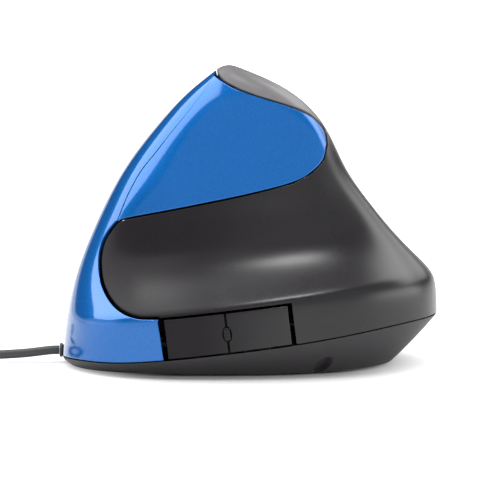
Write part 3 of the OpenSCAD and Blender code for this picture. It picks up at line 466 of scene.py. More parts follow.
def evenly(values, w):
    """Smooth curve through evenly spaced values at position w: a cubic B-spline whose controls are the values
    less a sixth of their second differences."""
    padded = np.pad(np.asarray(values, float), 3, mode="edge")
    control = padded[1:-1] - (padded[:-2] - 2 * padded[1:-1] + padded[2:]) / 6
    i = np.clip(np.floor(w).astype(int), 0, len(values) - 2)
    f = w - i
    g = 1 - f
    return (g ** 3 * control[i + 1] + (3 * f ** 3 - 6 * f ** 2 + 4) * control[i + 2]
            + (3 * g ** 3 - 6 * g ** 2 + 4) * control[i + 3] + f ** 3 * control[i + 4]) / 6


def soft_min(a, b, k):
    """The smaller of two values, rounded over where they are within about k of each other."""
    return (a + b - np.sqrt((a - b) ** 2 + k * k)) / 2


def section(h, front):
    """Reach along X and squareness of the body's section at height h, for its nose half or its tail half."""
    p = np.sqrt(np.clip(1 - h / crown, 0, None))
    nose = apex_x - half_l * evenly(side_line, steps + 1 - steps * p)
    tail_edge = half_l * evenly(side_line, steps + 1 + steps * p)
    tail = soft_min(tail_edge, half_l + tail_over * tail_turn, tail_turn) - apex_x
    square = [evenly(values, p * (len(values) - 1)) for values in (front_square, rear_square)]
    return np.where(front, nose, tail), np.where(front, *square)


def rise(u, h):
    """How much the lower edge rises at the thumb side's corners, by the nose and by the tail: bell curves of
    the angle that fade out with the square of the height left to rise_end."""
    v = np.degrees(np.mod(u, 2 * np.pi))
    hump = sum(top * np.exp(-((v - middle) / spread) ** 2) for middle, top, spread in corner_rise)
    return hump * np.clip(1 - np.maximum(h, 0) / rise_end, 0, None) ** 2


def body(u, h):
    """Point of the outer surface at angle u round the apex (0 tail, a quarter turn finger side, half nose)
    and height h above a plane that rises from the foot of the nose: a superellipse whose four reaches
    follow the outlines seen from the side and the front."""
    u, h = np.broadcast_arrays(u, h)
    p = np.sqrt(np.clip(1 - h / crown, 0, None))
    c, s = np.cos(u), np.sin(u)
    reach_x, n = section(h, c < 0)
    thumb = soft_min(-half_w * evenly(front_line, steps + 1 - steps * p), half_w, lip_turn)
    finger_edge = half_w * evenly(front_line, steps + 1 + steps * p)
    finger = soft_min(finger_edge, half_w + finger_over * finger_turn, finger_turn)
    q = (np.abs(c) ** n + np.abs(s) ** n) ** (-1 / n)
    x = apex_x + reach_x * c * q
    y = np.where(s < 0, thumb, finger) * s * q
    return np.stack([x, y, h + seam_tilt * (x + half_l) + rise(u, h)], -1)


def angle_at(x, h, side):
    """Angle at which the section at height h passes x on one side of the body, -1 thumb or 1 finger."""
    front = x < apex_x
    reach_x, n = section(h, front)
    c = np.clip((x - apex_x) / reach_x, -1, 1)
    return np.mod(side * np.arctan2((1 - np.abs(c) ** n) ** (1 / n), c), 2 * np.pi)


def unit(v):
    return v / np.linalg.norm(v, axis=-1, keepdims=True)


def normal_at(u, h):
    """Outward normal of the outer surface, by central differences."""
    du, dh = np.radians(0.4), 0.15
    h = np.minimum(h, crown - 0.3)
    return unit(np.cross(body(u + du, h) - body(u - du, h),
                         body(u, np.minimum(crown - 0.01, h + dh)) - body(u, h - dh)))


def wall_way(u, h):
    """Direction of the walls: the normal with less lean along the length."""
    n = normal_at(u, h)
    return unit(n * np.stack([n[..., 0] ** 2, np.ones_like(n[..., 0]), np.ones_like(n[..., 0])], -1))


foot_h, floor_z, base_top = 0.6, 2.6, 1.85
foot_reach = (0.84, 0.876, 0.775)
foot_square = (2.8, 2.1)


def foot(u, inset, z):
    """Outline of the underside, a superellipse drawn in by inset, at height z."""
    front = np.cos(u) < 0
    n = np.where(front, *foot_square)
    q = (np.abs(np.cos(u)) ** n + np.abs(np.sin(u)) ** n) ** (-1 / n)
    x = apex_x + (np.where(front, foot_reach[0], foot_reach[1]) * half_l - inset) * np.cos(u) * q
    return np.stack([x, (foot_reach[2] * half_w - inset) * np.sin(u) * q, np.full_like(u, z)], -1)


def bent(a, corner, c, t):
    """Quadratic Bezier rows from a to c that round the corner between them."""
    t = np.asarray(t)[:, None, None]
    return (1 - t) ** 2 * a + 2 * t * (1 - t) * corner + t * t * c


foot_roll, rim_roll, rim_wall, lip_drop, floor_inset = 1.3, 0.35, 2.9, 0.3, 3.4
swell_out, swell_up = 1.0, 0.1
recess_at = np.array([20.2, -28.2, 3.1])
recess_r, recess_depth, recess_edge = 2.3, 1.9, 0.2
recess_turn = np.radians(32)
recess_in = np.array([-np.sin(recess_turn), np.cos(recess_turn), 0])


def base_rings():
    """Closed rings from the middle of the underside out over the rounded foot, up the swelling side, over the
    rolled rim and down inside to the floor. The side sinks within the recess's radius of its axis."""
    fine = np.linspace(1.5 * np.pi, 2 * np.pi, 2000)
    middles = (foot(fine, 0, foot_h) + body(fine, np.full_like(fine, base_top))) / 2
    recess_u = fine[np.argmin(((middles - recess_at)[:, :2] ** 2).sum(-1))]
    u = np.sort(np.concatenate([np.linspace(0, 2 * np.pi, 360, endpoint=False),
                                recess_u + np.linspace(-0.1, 0.1, 120)]))
    rim = body(u, np.full_like(u, base_top))
    low = foot(u, 0, foot_h)
    swell = np.stack([swell_out * np.cos(u), swell_out * np.sin(u), np.full_like(u, swell_up)], -1)
    side = bent(low, (low + rim) / 2 + swell, rim, np.linspace(0, 1, 61))
    off = side - recess_at
    from_axis = np.linalg.norm(off - (off @ recess_in)[..., None] * recess_in, axis=-1)
    sinking = smooth((recess_r + recess_edge / 2 - from_axis) / recess_edge)
    side = side + recess_depth * sinking[..., None] * recess_in
    outward = unit(np.stack([rim[:, 0] - apex_x, rim[:, 1], 0 * u], -1))
    lip = rim - rim_wall * outward - (0, 0, lip_drop)
    floor_edge = foot(u, floor_inset, floor_z)
    middle = np.array([apex_x, 0, 0])
    foot_turn = bent(foot(u, foot_roll, foot_h), low, side[3], np.linspace(0, 1, 7))
    rim_turn = bent(side[-3], rim, rim - rim_roll * outward, np.linspace(0, 1, 7))
    shrink = np.linspace(0, 1, 5)[:, None, None]
    under = (middle + (0, 0, foot_h)) * (1 - shrink) + foot(u, foot_roll, foot_h) * shrink
    inside = np.stack([lip, floor_edge, np.broadcast_to(middle + (0, 0, floor_z), lip.shape)])
    return np.concatenate([under[:-1], foot_turn, side[4:-3], rim_turn, inside])


# Heights over which the shell's crown pales into a painted sheen for the overhead light.
painted_crown_fade = (58, 74)


def satin(name, dark, light, rough, grain_size, grain_height, shine=0.5, painted_crown_light=None, rubbed=()):
    """Fine-grained satin plastic: two close tones, a roughness that drifts and a pebbled grain. Towards the
    crown the tone may turn paler, a painted sheen for the overhead light, and the skin duller. Each rubbed
    patch, from x to x and z to z with a soft edge, has been polished by the hand to a share of a clear
    coat's gloss."""
    finish = Finish(name)
    drift = finish.noise(9.0, 3.0)
    cells = {"Vector": finish.place(), "Scale": 1 / (grain_size * mm), "Smoothness": 0.6}
    pebble = finish.node("TexVoronoi", {"feature": "SMOOTH_F1"}, cells)
    tone = finish.mixed(drift, dark, light)
    dull = drift * 0.06 + (rough - 0.03)
    if painted_crown_light:
        # The crown's paler tone is a painted sheen for the light from above; the skin is also rougher there.
        painted_crown_share = finish.step(finish.along("Z"), *painted_crown_fade)
        tone = finish.mixed(painted_crown_share, tone, painted_crown_light)
        dull = dull + 0.15 * painted_crown_share
    gloss = 0.0
    for x0, x1, z0, z1, soft, share in rubbed:
        in_x = finish.within(finish.along("X"), x0, x1, soft)
        in_z = finish.within(finish.along("Z"), z0, z1, soft)
        gloss = gloss + share * in_x * in_z
    grain = pebble + 0.35 * finish.noise(grain_size * 0.6)
    return finish.skin(grain, grain_height, base_color=tone, roughness=dull, specular_ior_level=shine,
                       coat_weight=gloss, coat_roughness=rough)


base_skin = satin("base_satin", (0.021, 0.019, 0.021), (0.029, 0.026, 0.029), 0.42, 0.3, 0.010)
base_grid = base_rings()
add_piece("base_moulding", base_grid, grid_faces(*base_grid.shape[:2], closed=True), base_skin, "housing",
          "base_black", ("base_tray",))

# Shells
# The moulded covers are cut from one surface. Each has a wall behind it, an edge that is rolled over,
# and a named gap to its neighbour; bosses and pegs inside hold them to the base and the inner frame.
shell_wall, shell_gap, scoop_gap, key_gap, button_gap = 2.0, 0.4, 0.9, 0.5, 0.5
# Edge lines are places: x along the mouse, and height above the tilted plane of the rim.
panel_low = np.array([(-37, 39.7), (-33, 40.7), (-14, 42.4), (0, 43.7), (12, 45.3), (17.4, 47.5),
                      (20.4, 50.3), (21.3, 53.8)])
panel_top = np.array([(-10.2, 76.6), (-7, 74.2), (-2.4, 71.5), (10, 66), (16.5, 62.3), (19.7, 58.9),
                      (21, 56.3), (21.3, 53.8)])
seam_line = np.array([(-37, 39.7), (-34.1, 46.5), (-30.5, 52.6), (-26.4, 57.3), (-22.2, 62.2),
                      (-16.7, 68.3), (-12.6, 73), (-10.2, 76.6)])
scoop_line = np.array([(-37.1, 39.5), (-39.4, 37), (-41.2, 33.8), (-42, 29), (-41, 23), (-37.4, 17.9),
                       (-31.7, 14.9), (-25.2, 14.1)])
lip_line = np.array([(-25.2, 14.1), (-8, 14.1), (11.4, 14.1)])
seam_low = 2.15
rim_steps = np.array([0, 0.05, 0.18, 0.38, 0.65, 1.0, 1.6])
rim_most = 0.35


def aside(points, distance):
    """A line of points moved sideways, to its left for a positive distance."""
    ended = np.concatenate([points[:1], points, points[-1:]])
    way = unit(ended[2:] - ended[:-2])
    return points + distance * np.stack([-way[:, 1], way[:, 0]], -1)


def on_side(side):
    """Turns places given as x and height into angle and height on one side of the body."""
    return lambda q: np.stack([angle_at(q[..., 0], q[..., 1], side), q[..., 1]], -1)


on_thumb, on_finger = on_side(-1), on_side(1)


def run(*stretches):
    """One edge from several stretches, each a function of 0 to 1 with the share of the edge that it takes."""
    marks = np.cumsum([0] + [share for _, share in stretches])

    def edge(s):
        place = s * marks[-1]
        index = np.clip(np.searchsorted(marks, place, side="right") - 1, 0, len(stretches) - 1)
        points = np.zeros(s.shape + (2,))
        for k, (stretch, share) in enumerate(stretches):
            here = index == k
            points[here] = stretch((place[here] - marks[k]) / share)
        return points
    return edge


def smooth_line(points):
    """A smooth line through places."""
    return lambda t: through(points, t)


def mapped(change, points):
    """A smooth line through points, changed to other coordinates place by place."""
    return lambda t: change(through(points, t))


def line_distance(points, line):
    """Distance of each point of a grid from a line of points, row by row over the stretches of the line."""
    way = np.diff(line, axis=0)
    long = np.maximum((way ** 2).sum(-1), 1e-12)
    rows = []
    for row in points:
        off = row[:, None] - line[:-1]
        share = np.clip((off * way).sum(-1) / long, 0, 1)
        rows.append(np.sqrt(((off - share[..., None] * way) ** 2).sum(-1).min(1)))
    return np.stack(rows)


def sunk(grid, roll):
    """How far the rows near a grid's first row sink to round that edge: roll, less the root of roll squared
    less the square of (roll - distance), out to roll from the edge."""
    near = 2 * len(rim_steps)
    depth = np.zeros(grid.shape[:2])
    away = np.minimum(line_distance(grid[:near], grid[0]), roll)
    depth[:near] = roll - np.sqrt(np.maximum(0, roll ** 2 - (roll - away) ** 2))
    return depth


def no_bow(s):
    """Leaves the ruling lines straight."""
    return np.zeros(s.shape + (2,))


def shell_grid(edge_a, edge_b, to_body, columns, rows, rolls, bow):
    """Outer and inner skins of a shell ruled between two edges, and the outer skin's normals, which are left
    at zero where the skin sinks. rolls are the radii of edge a, edge b, the first end and the last end; rows
    and columns crowd towards a rolled edge. bow bends the ruling lines: it moves their middles, by a
    parabola of the share."""
    def end_pace(start, stop):
        """Length of the shell's middle line between two shares, for each unit of share."""
        ends = np.array([start, stop])
        middle = to_body((edge_a(ends) + edge_b(ends)) / 2)
        return np.linalg.norm(np.diff(body(middle[:, 0], middle[:, 1]), axis=0)) / (stop - start)

    first = rolls[2] * rim_steps / end_pace(0, 0.001) if rolls[2] else np.zeros(1)
    last = 1 - rolls[3] * rim_steps[::-1] / end_pace(0.999, 1) if rolls[3] else np.ones(1)
    s = np.concatenate([first[:-1], np.linspace(first[-1], last[0], columns), last[1:]])
    a, b = edge_a(s), edge_b(s)
    roll_a, roll_b = (roll(s) if callable(roll) else np.full_like(s, roll) for roll in rolls[:2])

    def ruled(t):
        return to_body(a + (b - a) * t + 4 * t * (1 - t) * bow(s))

    def point(t):
        return body(*np.moveaxis(ruled(t), -1, 0))

    def crowded(here, near, roll):
        """Shares of the way from an edge for the rows of its rim, at most rim_most of the way."""
        out = (point(near) - point(here)) / abs(near - here)
        along = unit(np.gradient(point(here), axis=0) + 1e-12)
        pace = np.maximum(np.linalg.norm(np.cross(out, along), axis=-1), 1e-4)
        rim = roll * rim_steps[:, None]
        return rim / pace * np.minimum(1, rim_most * pace / rim[-1])

    t_a, t_b = crowded(0.0, 0.02, roll_a), crowded(1.0, 0.98, roll_b)
    between = np.linspace(0, 1, rows)[1:-1, None]
    t = np.concatenate([t_a, t_a[-1] + (1 - t_b[-1] - t_a[-1]) * between, 1 - t_b[::-1]])
    places = ruled(t[..., None])
    u, h = places[..., 0], places[..., 1]
    skin = body(u, h)
    sink = np.maximum(sunk(skin, roll_a), sunk(skin[::-1], roll_b)[::-1])
    turned_over = skin.swapaxes(0, 1)
    if rolls[2]:
        sink = np.maximum(sink, sunk(turned_over, rolls[2]).T)
    if rolls[3]:
        sink = np.maximum(sink, sunk(turned_over[::-1], rolls[3])[::-1].T)
    way = wall_way(u, h)
    normals = np.where(sink[..., None] > 0, 0, normal_at(u, h))
    return skin - sink[..., None] * way, skin - shell_wall * way, normals


def shell_piece(name, edge_a, edge_b, to_body, columns, rows, rolls, *facts, bow=no_bow):
    """A closed shell: its outer skin, its inner skin turned over, and a rim between them all round."""
    outer, inner, normals = shell_grid(edge_a, edge_b, to_body, columns, rows, rolls, bow)
    loops = np.stack([np.concatenate([grid[0], grid[1:, -1], grid[-1, -2::-1], grid[-2:0:-1, 0]])
                      for grid in (outer, inner)])
    sheets = [outer, inner[::-1], loops]
    points = np.concatenate([sheet.reshape(-1, 3) for sheet in sheets])
    starts = np.cumsum([0] + [sheet.size // 3 for sheet in sheets])
    faces = np.concatenate([grid_faces(*outer.shape[:2]), grid_faces(*inner.shape[:2]) + starts[1],
                            grid_faces(*loops.shape[:2], closed=True)[:, ::-1] + starts[2]])
    set_normals = np.zeros_like(points)
    set_normals[:starts[1]] = normals.reshape(-1, 3)
    return add_piece(name, points, faces, *facts, normals=set_normals)


def pearl(name, deep, bright, flake_size=0.12):
    """Glossy moulding with a fine pearl in the plastic under a clear coat: each flake has its own tone, and
    the whole drifts in broad blotches."""
    finish = Finish(name)
    flake = finish.node("TexVoronoi", {}, {"Vector": finish.place(), "Scale": 1 / (flake_size * mm)}, "Color")
    speck = finish.node("SeparateColor", {}, {"Color": flake})
    drift = finish.noise(14.0, 2.0)
    tone = 0.55 * speck + 0.45 * drift
    return finish.skin(base_color=finish.mixed(tone, deep, bright), metallic=0.35, specular_ior_level=0.0,
                       roughness=0.12 * speck + 0.2, coat_weight=1.0, coat_roughness=0.05)


# Patches polished by the hand: from x to x, from z to z, the softness of the edge and the share of gloss.
hand_rubs = [(-2, 90, -20, 120, 14, 0.75), (-32, -5, 20.5, 27.0, 3, 0.14)]
# The shell's crown tone is a painted sheen: the spine's top is tinted paler grey.
black_skin = satin("shell_satin", (0.015, 0.0135, 0.015), (0.020, 0.018, 0.020), rough=0.28, grain_size=0.22,
                   grain_height=0.008, shine=0.09, painted_crown_light=(0.17, 0.165, 0.17), rubbed=hand_rubs)
blue_skin = pearl("blue_pearl", (0.005, 0.120, 0.42), (0.010, 0.152, 0.51))

# Thumb panel
# The blue panel above the thumb scoop: a glossy moulding with a thin wall that follows the body's surface.
# Two pegs behind it clip it to the inner frame.
seam_from = 0.05
panel_edge = run((smooth_line(aside(seam_line, seam_from)), 14), (smooth_line(panel_top), 16))


def rolled(*stretches):
    """Roll along an edge: for each stretch the share of the edge it ends at, its first and last radius."""
    ends, starts, stops = np.transpose(stretches)
    places = np.stack([np.r_[0, ends[:-1]], ends], -1).ravel()
    radii = np.stack([starts, stops], -1).ravel()
    return lambda s: np.interp(s, places, radii)


panel_roll = rolled((7 / 30, 0.1, 0.1), (14 / 30, 0.1, 0.02), (1, 0.3, 0.3))
shell_piece("thumb_cover", smooth_line(panel_low), panel_edge, on_thumb, 260, 60, (0.22, panel_roll, 0, 0),
            blue_skin, "housing", "blue_gloss", ("thumb_panel",))

# Front cover
# The blue nose: one glossy moulding that wraps from the thumb scoop round the nose to the finger keys.
# It stands on the base's rim, and a screw from below holds it there.
key_nose, key_foot, rest_tail = -36, 22, 18
seam_show, seam_shut, shut_from, shut_over = 0.14, 0.02, 0.45, 0.25
closing = 1 - smooth((np.linspace(0, 1, len(seam_line)) - shut_from) / shut_over)
seam_side = (seam_from + seam_shut + seam_show * closing)[:, None]
finger_seam = np.concatenate([[(-36.2, 42)], seam_line[1:]])
button_end = np.array([(-24, seam_low), (-24.8, 8), (-25.6, 13.2)])
key_end = np.array([(key_nose - 1.5, seam_low), (key_nose - 1, key_foot - 2),
                    (key_nose - 0.3 - key_gap, 41.7)])
cover_left = run((mapped(on_thumb, button_end), 4),
                 (mapped(on_thumb, aside(scoop_line, -scoop_gap / 2)[::-1]), 14),
                 (mapped(on_thumb, aside(seam_line, seam_side)), 12))
cover_right = run((mapped(on_finger, key_end), 18), (mapped(on_finger, aside(finger_seam, key_gap)), 12))
tip_swell, tip_spread, tip_from, tip_over = 0.8, 0.45, 74.8, 1.8


def nose_end(q):
    """Angle and height as they are, but the top end swells up round the spine's tip: the height grows by a
    bell curve of the angle over the last two millimetres."""
    u, h = q[..., 0], q[..., 1]
    grown = tip_swell * np.exp(-((u - np.pi) / tip_spread) ** 2) * smooth((h - tip_from) / tip_over)
    return np.stack([u, h + grown], -1)


cover_roll = rolled((18 / 30, 0.3, 0.3), (24 / 30, 0.1, 0.1), (1, 0.1, 0.02))
shell_piece("nose_cover", cover_left, cover_right, nose_end, 300, 110, (cover_roll, 0.4, 0.3, 0.3), blue_skin,
            "housing", "blue_gloss", ("front_cover",))

# Rear shell
# The black moulding that is thumb scoop, palm hump and spine in one, with a soft-feeling satin skin.
# It closes over the inner frame, and a screw from below holds it to the base near the tail.
tip, tip_corner = (np.pi, 77.85), (-8.9, 77.05)
panel_groove = shell_gap + 0.1
low_edge = aside(panel_low, -panel_groove)
top_edge = aside(panel_top, panel_groove)[::-1]
finger_top = aside(panel_top, key_gap - 0.15)[::-1]
top_edge[-1] = tip_corner
finger_top[-1] = tip_corner
lip_end = np.array([(11.4, 14.1), (12.1, 8), (12.8, seam_low)])
key_tail = np.array([(rest_tail, seam_low), (rest_tail, 14), (rest_tail - 0.4, 20), (16.4, 27), (16.1, 37),
                     (16.3, 43.5), (18.5, 47.9), (21.65, 53.8)])


def to_disc(q):
    """Angle and height as a point of a disc with the apex in its middle: lines over the crown stay smooth."""
    share = np.sqrt(np.clip(1 - q[..., 1] / crown, 0, None))
    return np.stack([share * np.cos(q[..., 0]), share * np.sin(q[..., 0])], -1)


def from_disc(d):
    """Angle and height of a point of that disc."""
    return np.stack([np.arctan2(d[..., 1], d[..., 0]), crown * (1 - (d ** 2).sum(-1))], -1)


skirt_from = on_thumb(lip_end[2])[0]
skirt_to = 2 * np.pi + on_finger(key_tail[0])[0]


def skirt(t):
    """The lower edge round the tail, from the thumb buttons to the finger rest."""
    return np.stack([skirt_from + (skirt_to - skirt_from) * t, np.full_like(t, seam_low)], -1)


def over_tip(places):
    """A smooth line through angles and heights that ends at the spine's tip, on the disc."""
    return lambda t: to_disc(through(np.concatenate([places, [tip]]), t))


def disc_line(points):
    """A smooth line through places on the thumb side, on the disc."""
    return lambda t: to_disc(on_thumb(through(points, t)))


rear_outer = run((disc_line(aside(scoop_line, scoop_gap / 2)), 14), (disc_line(lip_line), 12),
                 (disc_line(lip_end), 4), (lambda t: to_disc(skirt(t)), 20),
                 (lambda t: to_disc(on_finger(through(key_tail, t))), 14),
                 (over_tip(on_finger(finger_top)), 16))
bend = (low_edge[4] + low_edge[5]) / 2
rear_inner = run((disc_line(low_edge[:3]), 14), (disc_line(low_edge[2:5]), 12),
                 (disc_line(np.array([low_edge[4], bend])), 4),
                 (disc_line(np.array([bend, *low_edge[5:7]])), 20), (disc_line(low_edge[6:]), 14),
                 (disc_line(top_edge[:4]), 6), (over_tip(on_thumb(top_edge[3:])), 10))
rear_shares = 80
bow_at = [38, 45, 50, 54, 58, 62, 64]
bow_reach = [0, 0.05, 0.18, 0.14, 0.105, 0.065, 0]


def round_key(s):
    """Bends the ruling lines towards the tail, where straight ones would cross the upper key's palm end."""
    return np.stack([np.interp(rear_shares * s, bow_at, bow_reach), 0 * s], -1)


shell_piece("palm_shell", rear_outer, rear_inner, from_disc, 480, 76, (0.32, 0.25, 0.12, 0), black_skin,
            "housing", "black_satin", ("rear_shell",), bow=round_key)

# Finger keys
# Two glossy blue keys on the far side, moulded in the body's form and hinged on a steel pin at their palm
# end. The forefinger works the upper one, and a slot between them lets the wheel through.
wheel_x, wheel_d, wheel_w = -15.75, 21, 6
slot_half, slot_high = wheel_d / 2 + 2.2, 4.5
left_end, right_end = 12, 15.5
split_line = np.array([(-37, 41.3), (14, 45.4)])


def split_at(x):
    """Height of the straight split between the keys at x."""
    (x0, h0), (x1, h1) = split_line
    return h0 + (x - x0) * (h1 - h0) / (x1 - x0)


def notch(x):
    """Half height of the wheel slot at x: the root of one less the eighth power of its share of the length."""
    return slot_high * np.sqrt(np.clip(1 - ((x - wheel_x) / slot_half) ** 8, 0, None))


def left_low(t):
    """The upper key's lower edge: the split, raised round the wheel's slot."""
    x = finger_seam[0, 0] + (left_end - finger_seam[0, 0]) * t
    h = split_at(x) + key_gap / 2 + notch(x)
    return np.stack([x, np.where(t == 0, finger_seam[0, 1], h)], -1)


left_corner = np.array([(left_end, split_at(left_end) + key_gap / 2), (17.5, 48.3), panel_top[-1]])
shell_piece("upper_key", run((left_low, 34), (smooth_line(left_corner), 6)),
            run((smooth_line(finger_seam), 20), (smooth_line(panel_top), 20)), on_finger, 260, 50,
            (0.4, 0.4, 0, 0), blue_skin, "left_key", "blue_gloss", ("left_key",))


def right_high(t):
    """The lower key's upper edge: the split, lowered round the wheel's slot."""
    x = key_nose + (right_end - key_nose) * t
    return np.stack([x, split_at(x) - key_gap / 2 - notch(x)], -1)


def right_low(t):
    """The lower key's lower edge, at one height above the rim."""
    return np.stack([key_nose + (right_end - key_nose) * t, np.full_like(t, key_foot)], -1)


shell_piece("lower_key", right_high, right_low, on_finger, 220, 50, (0.4, 0.4, 0.4, 0.4), blue_skin,
            "right_key", "blue_gloss", ("right_key",))

# Finger rest
# The fixed black panel under the keys, where the ring finger lies: a satin moulding that two pegs behind it
# hold to the inner frame.
rest_top = key_foot - key_gap
rest_low_edge = np.array([(key_nose - 1.1, seam_low), (-10, seam_low), (rest_tail - 0.5, seam_low)])
rest_high_edge = np.array([(key_nose - 0.5, rest_top), (-10, rest_top), (rest_tail - 1, rest_top)])
shell_piece("ring_rest", smooth_line(rest_high_edge), smooth_line(rest_low_edge), on_finger, 160, 50,
            (0.4, 0.4, 0.4, 0.4), black_skin, "housing", "black_satin", ("finger_rest",))

# Thumb buttons
# Two black satin buttons in a row under the scoop. Each slides in a bracket behind it, and the ends that
# face each other are bitten out round a small oval nub on that bracket.
button_low, button_high = 2.35, 13.35
nub_height, nub_bite = 7.6, (0.95, 2.0)
button_split = -7.05


def button_body(x0, x1, side):
    """Places on a button from its share of the length and its height: its ends lean with the seam, and the
    end beside the nub is drawn back along half an oval."""
    def change(q):
        share, h = q[..., 0], q[..., 1]
        lean = (button_high - h) * seam_tilt
        bite = nub_bite[0] * np.sqrt(np.clip(1 - ((h - nub_height) / nub_bite[1]) ** 2, 0, None))
        start = x0 + lean + (bite if side > 0 else 0)
        stop = x1 + lean - (bite if side < 0 else 0)
        return on_thumb(np.stack([start + (stop - start) * share, h], -1))
    return change


def level(h):
    """A button's edge at one height, over its whole length."""
    return lambda t: np.stack([t, np.full_like(t, h)], -1)


buttons = [("front_thumb_button", "forward_button", -23.85, button_split - button_gap / 2, -1),
           ("rear_thumb_button", "back_button", button_split + button_gap / 2, 10.25, 1)]
for name, node, x0, x1, side in buttons:
    shell_piece(name, level(button_low), level(button_high), button_body(x0, x1, side), 90, 70,
                (0.3, 0.3, 0.3, 0.3), black_skin, node, "black_satin", (node,))

nub_at = np.array([-6.4, -39.93, 13.04])
nub_half, nub_power = (0.9, 1.82), 2.6
nub_foot, nub_rim, nub_rise = -0.9, -0.1, 0.34
ridge_height, ridge_pitch = 0.035, 0.95
tilt = np.arctan(seam_tilt)
face_x = np.array([np.cos(tilt), 0, np.sin(tilt)])
face_z = np.array([-np.sin(tilt), 0, np.cos(tilt)])


def nub_rings():
    """Rings of an oval dome from its buried foot to its crown: a superellipse that shrinks as it rises, with
    faint ridges across."""
    angle = np.linspace(0, 2 * np.pi, 72, endpoint=False)
    reach = (np.abs(np.cos(angle)) ** nub_power + np.abs(np.sin(angle)) ** nub_power) ** (-1 / nub_power)
    arc = np.linspace(0, np.pi / 2, 22)
    shares = np.concatenate([[1, 1], np.cos(arc)])[:, None]
    dome = np.concatenate([[nub_foot, nub_rim], nub_rise * np.sin(arc)])[:, None]
    across = nub_half[0] * reach * np.cos(angle) * shares
    along = nub_half[1] * reach * np.sin(angle) * shares
    out = dome + ridge_height * np.cos(2 * np.pi * along / ridge_pitch) * (1 - shares ** 4)
    return nub_at + across[..., None] * face_x + along[..., None] * face_z - out[..., None] * (0, 1, 0)


ringed_piece("thumb_nub", nub_rings(), black_skin, "housing", "black_satin")

# Wheel
# A moulded wheel on a steel axle, which a cradle carries between the keys. A rubber tyre is stretched round
# it, notched for the finger.
wheel_at = np.array([wheel_x, 19.418, 44.598])
face_lean = np.radians(25)
wheel_axis = np.array([0, -np.sin(face_lean), np.cos(face_lean)])
face_out = np.array([0, np.cos(face_lean), np.sin(face_lean)])
tyre_thick, tread_round = 2, 0.55
notch_count, notch_deep, notch_from, notch_soft, notch_fade = 24, 0.5, 0.62, 0.2, 0.6


def tyre_grid():
    """Rings round the wheel: across the tread the radius falls off as the eighth power of the place, and
    notches round the tread sink it; the last rings are the flat inside."""
    angle = np.linspace(0, 2 * np.pi, 576, endpoint=False)
    place = np.linspace(-1, 1, 25)[:, None]
    notches = notch_deep * smooth((np.cos(notch_count * angle) - notch_from) / notch_soft)
    tread = wheel_d / 2 - tread_round * place ** 8 - notches * (1 - notch_fade * place ** 8)
    inside = np.full((2, angle.size), wheel_d / 2 - tyre_thick)
    radius = np.concatenate([tread, inside, tread[:1]])[..., None]
    across = np.concatenate([place[:, 0], [1, -1, -1]])[:, None, None] * wheel_w / 2
    return wheel_at + across * wheel_axis + radius * (np.cos(angle)[:, None] * np.array([1.0, 0, 0])
                                                      + np.sin(angle)[:, None] * face_out)


rubber_skin = satin("tyre_rubber", (0.030, 0.030, 0.031), (0.042, 0.042, 0.043), 0.62, 0.15, 0.01)
tyre = tyre_grid()
add_piece("ribbed_tyre", tyre, grid_faces(*tyre.shape[:2], closed=True), rubber_skin, "wheel", "wheel_rubber",
          ("wheel_tyre",))

# Glide feet
# Two slippery pads under the mouse, one near each end. They are cut from sheet with round ends and a
# softened edge, and let into the underside.
glide_x, glide_half = (-36.6, 21.0), (3.5, 9.0)
glide_section = [(0, 0.9), (0, 0.3), (0.05, 0.15), (0.15, 0.05), (0.3, 0), (3.0, 0)]


def pad_rings(x):
    """Rings of a pad from its buried top to its worn face: a slot outline drawn in at the lower edge."""
    angle = np.linspace(0, 2 * np.pi, 96, endpoint=False)
    cap = np.stack([np.cos(angle), np.sin(angle), 0 * angle], -1)
    spread = np.array([0, 1.0, 0]) * np.sign(np.sin(angle))[:, None] * (glide_half[1] - glide_half[0])
    return np.stack([spread + cap * (glide_half[0] - inset) + (x, 0, z) for inset, z in glide_section])


glide_skin = satin("glide_pad", (0.035, 0.035, 0.037), (0.05, 0.05, 0.052), 0.3, 0.4, 0.004)
for end, x in zip(("front", "rear"), glide_x):
    ringed_piece(end + "_glide", pad_rings(x), glide_skin, "housing", "glide_grey", ("glide_feet",))

# Inner works
# Frames, boards, switches, wires and fasteners, which close up inside. The plastic ones are moulded, the
# boards are etched and soldered, and steel screws and pins hold them.


def plain(name, dark, light, rough, metal=0.0, blotch=3.0, **sockets):
    """A hard surface of two close tones in soft blotches, with a roughness that drifts with them."""
    finish = Finish(name)
    drift = finish.noise(blotch, 3.0)
    return finish.skin(base_color=finish.mixed(drift, dark, light), roughness=drift * 0.12 + (rough - 0.06),
                       metallic=metal, **sockets)


def board_finish(cell=3.0):
    """Green solder mask: copper runs show through as paler lines, from the edges of a cell pattern."""
    finish = Finish("solder_mask")
    edge = finish.node("TexVoronoi", {"feature": "DISTANCE_TO_EDGE", "distance": "CHEBYCHEV"},
                       {"Vector": finish.place(), "Scale": 1 / (cell * mm)})
    trace = 1 - finish.step(edge, 0.03, 0.06)
    return finish.skin(base_color=finish.mixed(trace, (0.003, 0.028, 0.010), (0.008, 0.055, 0.017)),
                       roughness=trace * 0.1 + 0.3)


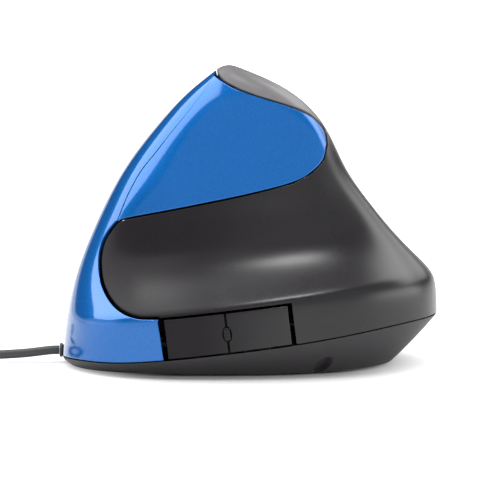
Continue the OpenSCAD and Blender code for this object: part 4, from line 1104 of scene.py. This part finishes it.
finishes = {
    plain("frame_plastic", (0.009, 0.009, 0.010), (0.014, 0.014, 0.015), 0.5):
        ("side_button_bracket", "key_frame", "wheel_cradle", "lamp_clip"),
    plain("wheel_plastic", (0.022, 0.022, 0.024), (0.03, 0.03, 0.032), 0.4): ("scroll_wheel",),
    plain("bright_steel", (0.52, 0.52, 0.53), (0.62, 0.62, 0.62), 0.28, 1.0, 1.5):
        ("base_screws", "key_board_screws", "side_board_screws", "board_screws", "key_hinge_pin",
         "cradle_pin", "wheel_axle", "plug_shell"),
    board_finish(): ("key_board", "side_board", "main_board"),
    plain("switch_plastic", (0.012, 0.012, 0.013), (0.018, 0.018, 0.019), 0.35):
        ("left_switch_case", "right_switch_case", "click_switch_case", "side_switch_cases"),
    plain("red_plunger", (0.42, 0.02, 0.02), (0.5, 0.03, 0.025), 0.4):
        ("left_switch_plunger", "right_switch_plunger"),
    plain("white_plunger", (0.66, 0.65, 0.61), (0.72, 0.71, 0.68), 0.42):
        ("click_switch_plunger", "forward_switch_plunger", "back_switch_plunger"),
    plain("chip_resin", (0.016, 0.016, 0.017), (0.024, 0.024, 0.025), 0.55, blotch=1.0):
        ("sensor_chip", "controller_chip", "wheel_light_detector"),
    plain("black_nylon", (0.018, 0.018, 0.019), (0.026, 0.026, 0.027), 0.45):
        ("cable_header", "cable_connector"),
    plain("wire_jacket", (0.020, 0.020, 0.021), (0.030, 0.030, 0.031), 0.5):
        ("inner_lead", "key_harness", "side_harness"),
    plain("capacitor_sleeve", (0.010, 0.012, 0.026), (0.014, 0.017, 0.034), 0.3): ("capacitor",),
    plain("clear_plastic", (0.86, 0.87, 0.88), (0.9, 0.9, 0.9), 0.12, transmission_weight=0.9, ior=1.49):
        ("sensor_lens", "wheel_light_emitter"),
    plain("red_lamp", (0.10, 0.006, 0.006), (0.13, 0.008, 0.007), 0.12, transmission_weight=0.6, ior=1.5):
        ("sensor_lamp",),
    plain("white_nylon", (0.72, 0.72, 0.70), (0.78, 0.78, 0.76), 0.4): ("plug_tongue",),
}
for material, names in finishes.items():
    for name in names:
        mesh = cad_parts[name].data
        mesh.materials.clear()
        mesh.materials.append(material)
